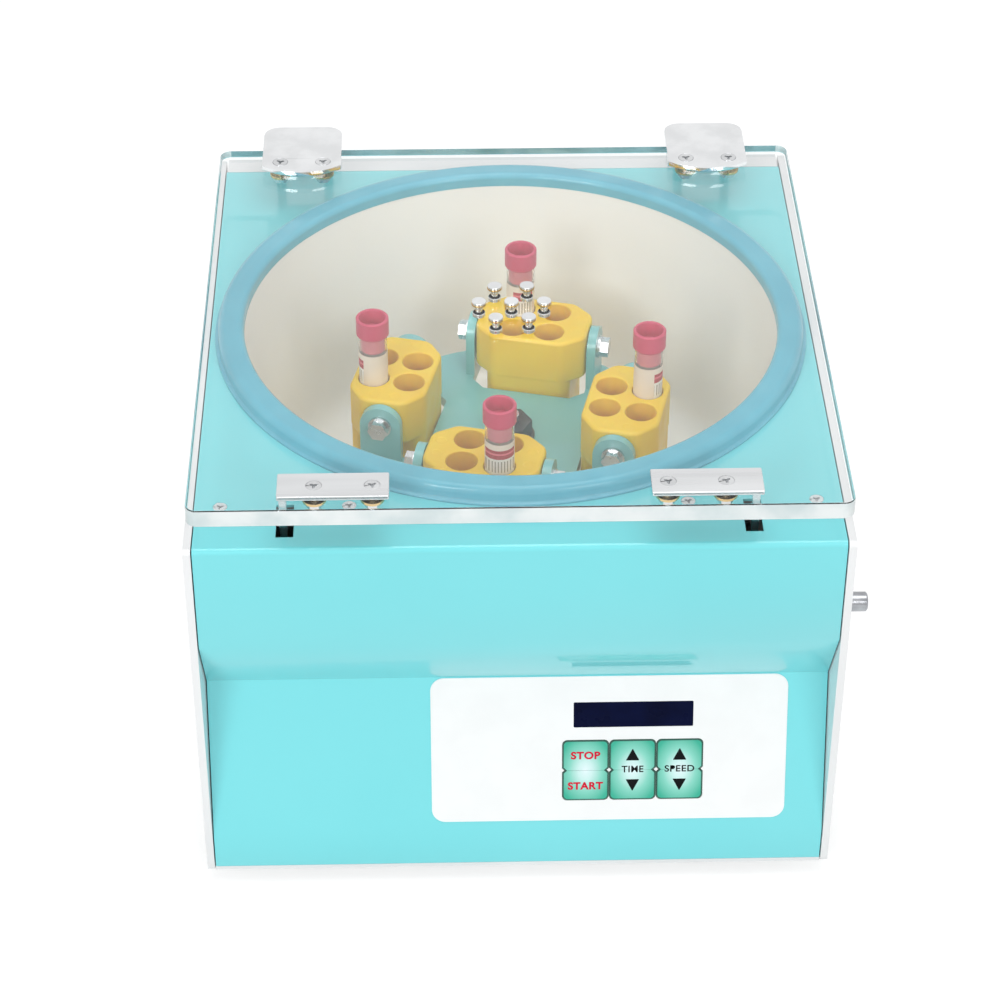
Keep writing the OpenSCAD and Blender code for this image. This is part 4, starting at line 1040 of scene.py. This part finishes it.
def keyFace():
    # pale in the middle of a pair, green towards its edges
    mat = newFinish("keyFace", (0.3, 0.7, 0.5), 0.4)
    tree = mat.node_tree
    size = tree.nodes.new("ShaderNodeVectorMath")
    size.operation = "LENGTH"
    tree.links.new(ownPlace(mat, (1 / 0.0150, 1 / 0.0215, 0)), size.inputs[0])
    ramp = tree.nodes.new("ShaderNodeValToRGB")
    shades = ((0.0, (0.78, 0.92, 0.94)), (0.26, (0.60, 0.85, 0.82)), (0.58, (0.24, 0.66, 0.54)),
              (0.98, (0.03, 0.43, 0.29)))
    ramp.color_ramp.elements[0].color = (*shades[0][1], 1)
    ramp.color_ramp.elements[1].position = shades[3][0]
    ramp.color_ramp.elements[1].color = (*shades[3][1], 1)
    for position, colour in shades[1:3]:
        ramp.color_ramp.elements.new(position).color = (*colour, 1)
    tree.links.new(size.outputs["Value"], ramp.inputs["Fac"])
    tree.links.new(ramp.outputs["Color"], tree.nodes["Principled BSDF"].inputs["Base Color"])
    patchyGloss(mat, 0.34, 0.46, 90)
    grain(mat, 1400, 0.00002)
    return mat


faceFilm = keyFace()
keyPairs = (("key_stop", "key_start"), ("key_time_up", "key_time_down"), ("key_speed_up", "key_speed_down"))


def makeKeyFrames(spec):
    # dark frames round each pair, which touch from column to column
    hole = slab(pairHole(spec), -0.001, 0.002, 0.00001, 2)
    wide = [p.copy() for p in inset(pairHole(spec), -spec["frame"])]
    blank = slab(wide, spec["film"] - 0.00004, spec["film"] + 0.0001, 0.00003, 1)
    frameMesh = combined(blank, hole, "DIFFERENCE")
    parts = [(frameMesh, onPanel(x, spec["keyS"])) for x in spec["keyX"]]
    piece("keyFrames", gathered(parts), "root", keyRimGreen, None, (), 30)


def makeKeys(spec):
    for pair, x in zip(keyPairs, spec["keyX"]):
        for node, turn in zip(pair, (0, math.pi)):
            place = onPanel(x, spec["keyS"]) @ Matrix.Rotation(turn, 4, "Z")
            rim = slab(keyOutline(spec), -spec["keyBack"], spec["keyFront"] - 0.00012, 0.0002, 2)
            piece(node + "_rim", rim, node, keyRimGreen, place, [node], 30)
            face = slab(keyOutline(spec, 0, spec["rim"]), spec["keyFront"] - 0.0002, spec["keyFront"], 0.00006, 2)
            piece(node + "_face", face, node, faceFilm, place, (), 30)


makeLabel(panel)
makeKeyFrames(panel)
makeKeys(panel)
print("panel and keys laid")


# printing on the keys

lettering = {
    "thick": 0.00005, "boldness": 0.04, "fineBoldness": 0.018,
    "words": (
        {"text": "STOP", "pair": 0, "up": 0.0090, "wide": 0.0158, "tall": 0.0046, "ink": printRed, "rides": "key_stop"},
        {"text": "START", "pair": 0, "up": -0.0092, "wide": 0.0190, "tall": 0.0046, "ink": printRed,
         "rides": "key_start"},
    ),
    "splitWords": (
        {"text": "TIME", "pair": 1, "up": 0.0005, "wide": 0.0118, "tall": 0.0039},
        {"text": "SPEED", "pair": 2, "up": 0.0005, "wide": 0.0160, "tall": 0.0039},
    ),
    "arrowUp": 0.0092, "arrowWide": 0.0073, "arrowTall": 0.0071,
}


def wordMesh(text, wide, tall, spec, boldness):
    curve = bpy.data.curves.new("word", "FONT")
    curve.body = text
    curve.offset = boldness
    curve.extrude = 0.02
    curve.space_character = 1.08
    holder = bpy.data.objects.new("word", curve)
    scene.collection.objects.link(holder)
    bpy.context.view_layer.update()
    mesh = bpy.data.meshes.new_from_object(holder.evaluated_get(bpy.context.evaluated_depsgraph_get()))
    bpy.data.objects.remove(holder)
    low = Vector([min(v.co[k] for v in mesh.vertices) for k in range(3)])
    high = Vector([max(v.co[k] for v in mesh.vertices) for k in range(3)])
    middle = (low + high) / 2
    size = high - low
    mesh.transform(Matrix.Translation(-Vector((middle.x, middle.y, low.z))))
    mesh.transform(Matrix.Diagonal((wide / size.x, tall / size.y, spec["thick"] / size.z, 1)))
    return mesh


def halfOf(mesh, up, keepUpper):
    # the part of a word above or below the line between two keys
    bm = bmesh.new()
    bm.from_mesh(mesh)
    everything = bm.verts[:] + bm.edges[:] + bm.faces[:]
    bmesh.ops.bisect_plane(bm, geom=everything, plane_co=(0, -up, 0), plane_no=(0, -1 if keepUpper else 1, 0),
                           clear_outer=True)
    bmesh.ops.holes_fill(bm, edges=[e for e in bm.edges if len(e.link_faces) == 1])
    bmesh.ops.recalc_face_normals(bm, faces=bm.faces)
    return intoMesh(bm)


def printKeys(spec, panelSpec):
    front = panelSpec["keyFront"] - 0.00002
    for word in spec["words"]:
        mesh = wordMesh(word["text"], word["wide"], word["tall"], spec, spec["boldness"])
        place = onPanel(panelSpec["keyX"][word["pair"]], panelSpec["keyS"] + word["up"], front)
        piece("word_" + word["text"], mesh, word["rides"], word["ink"], place)
    for word in spec["splitWords"]:
        whole = wordMesh(word["text"], word["wide"], word["tall"], spec, spec["fineBoldness"])
        place = onPanel(panelSpec["keyX"][word["pair"]], panelSpec["keyS"] + word["up"], front)
        for node, upper in zip(keyPairs[word["pair"]], (True, False)):
            name = "word_" + word["text"] + ("_upper" if upper else "_lower")
            piece(name, halfOf(whole, word["up"], upper), node, printBlack, place)
    w, t = spec["arrowWide"] / 2, spec["arrowTall"] / 2
    for index in (1, 2):
        for node, way in zip(keyPairs[index], (1, -1)):
            outline = roundCorners([(-w, -t), (w, -t), (0, t)], 0.0002, 2)
            place = onPanel(panelSpec["keyX"][index], panelSpec["keyS"] + way * spec["arrowUp"], front)
            turn = Matrix.Rotation(0 if way > 0 else math.pi, 4, "Z")
            piece("arrow_" + node, slab(outline, 0, spec["thick"], 0.00001, 2), node, printBlack,
                  place @ turn)


printKeys(lettering, panel)
print("keys printed")


# back: the inlet's three pins

inletPins = {"wide": 0.002, "tall": 0.0062, "long": 0.013, "spread": 0.0070, "drop": -0.002, "rise": 0.002}


def makePins(spec):
    low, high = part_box("power_inlet")
    middle = (low + high) / 2
    bladeOutline = roundCorners(rectangle(spec["wide"], spec["tall"]), 0.0005, 3)
    blade = slab(bladeOutline, 0, spec["long"], 0.0004, 3, topOnly=True)
    parts = []
    for dx, dz in ((-spec["spread"], spec["drop"]), (spec["spread"], spec["drop"]), (0, spec["rise"])):
        at = (middle.x + dx, high.y - 0.017, middle.z + dz)
        parts.append((blade, Matrix.Translation(at) @ Matrix.Rotation(-math.pi / 2, 4, "X")))
    piece("inletPins", gathered(parts), "root", washerBrass, None)


makePins(inletPins)
print("inlet pins set")
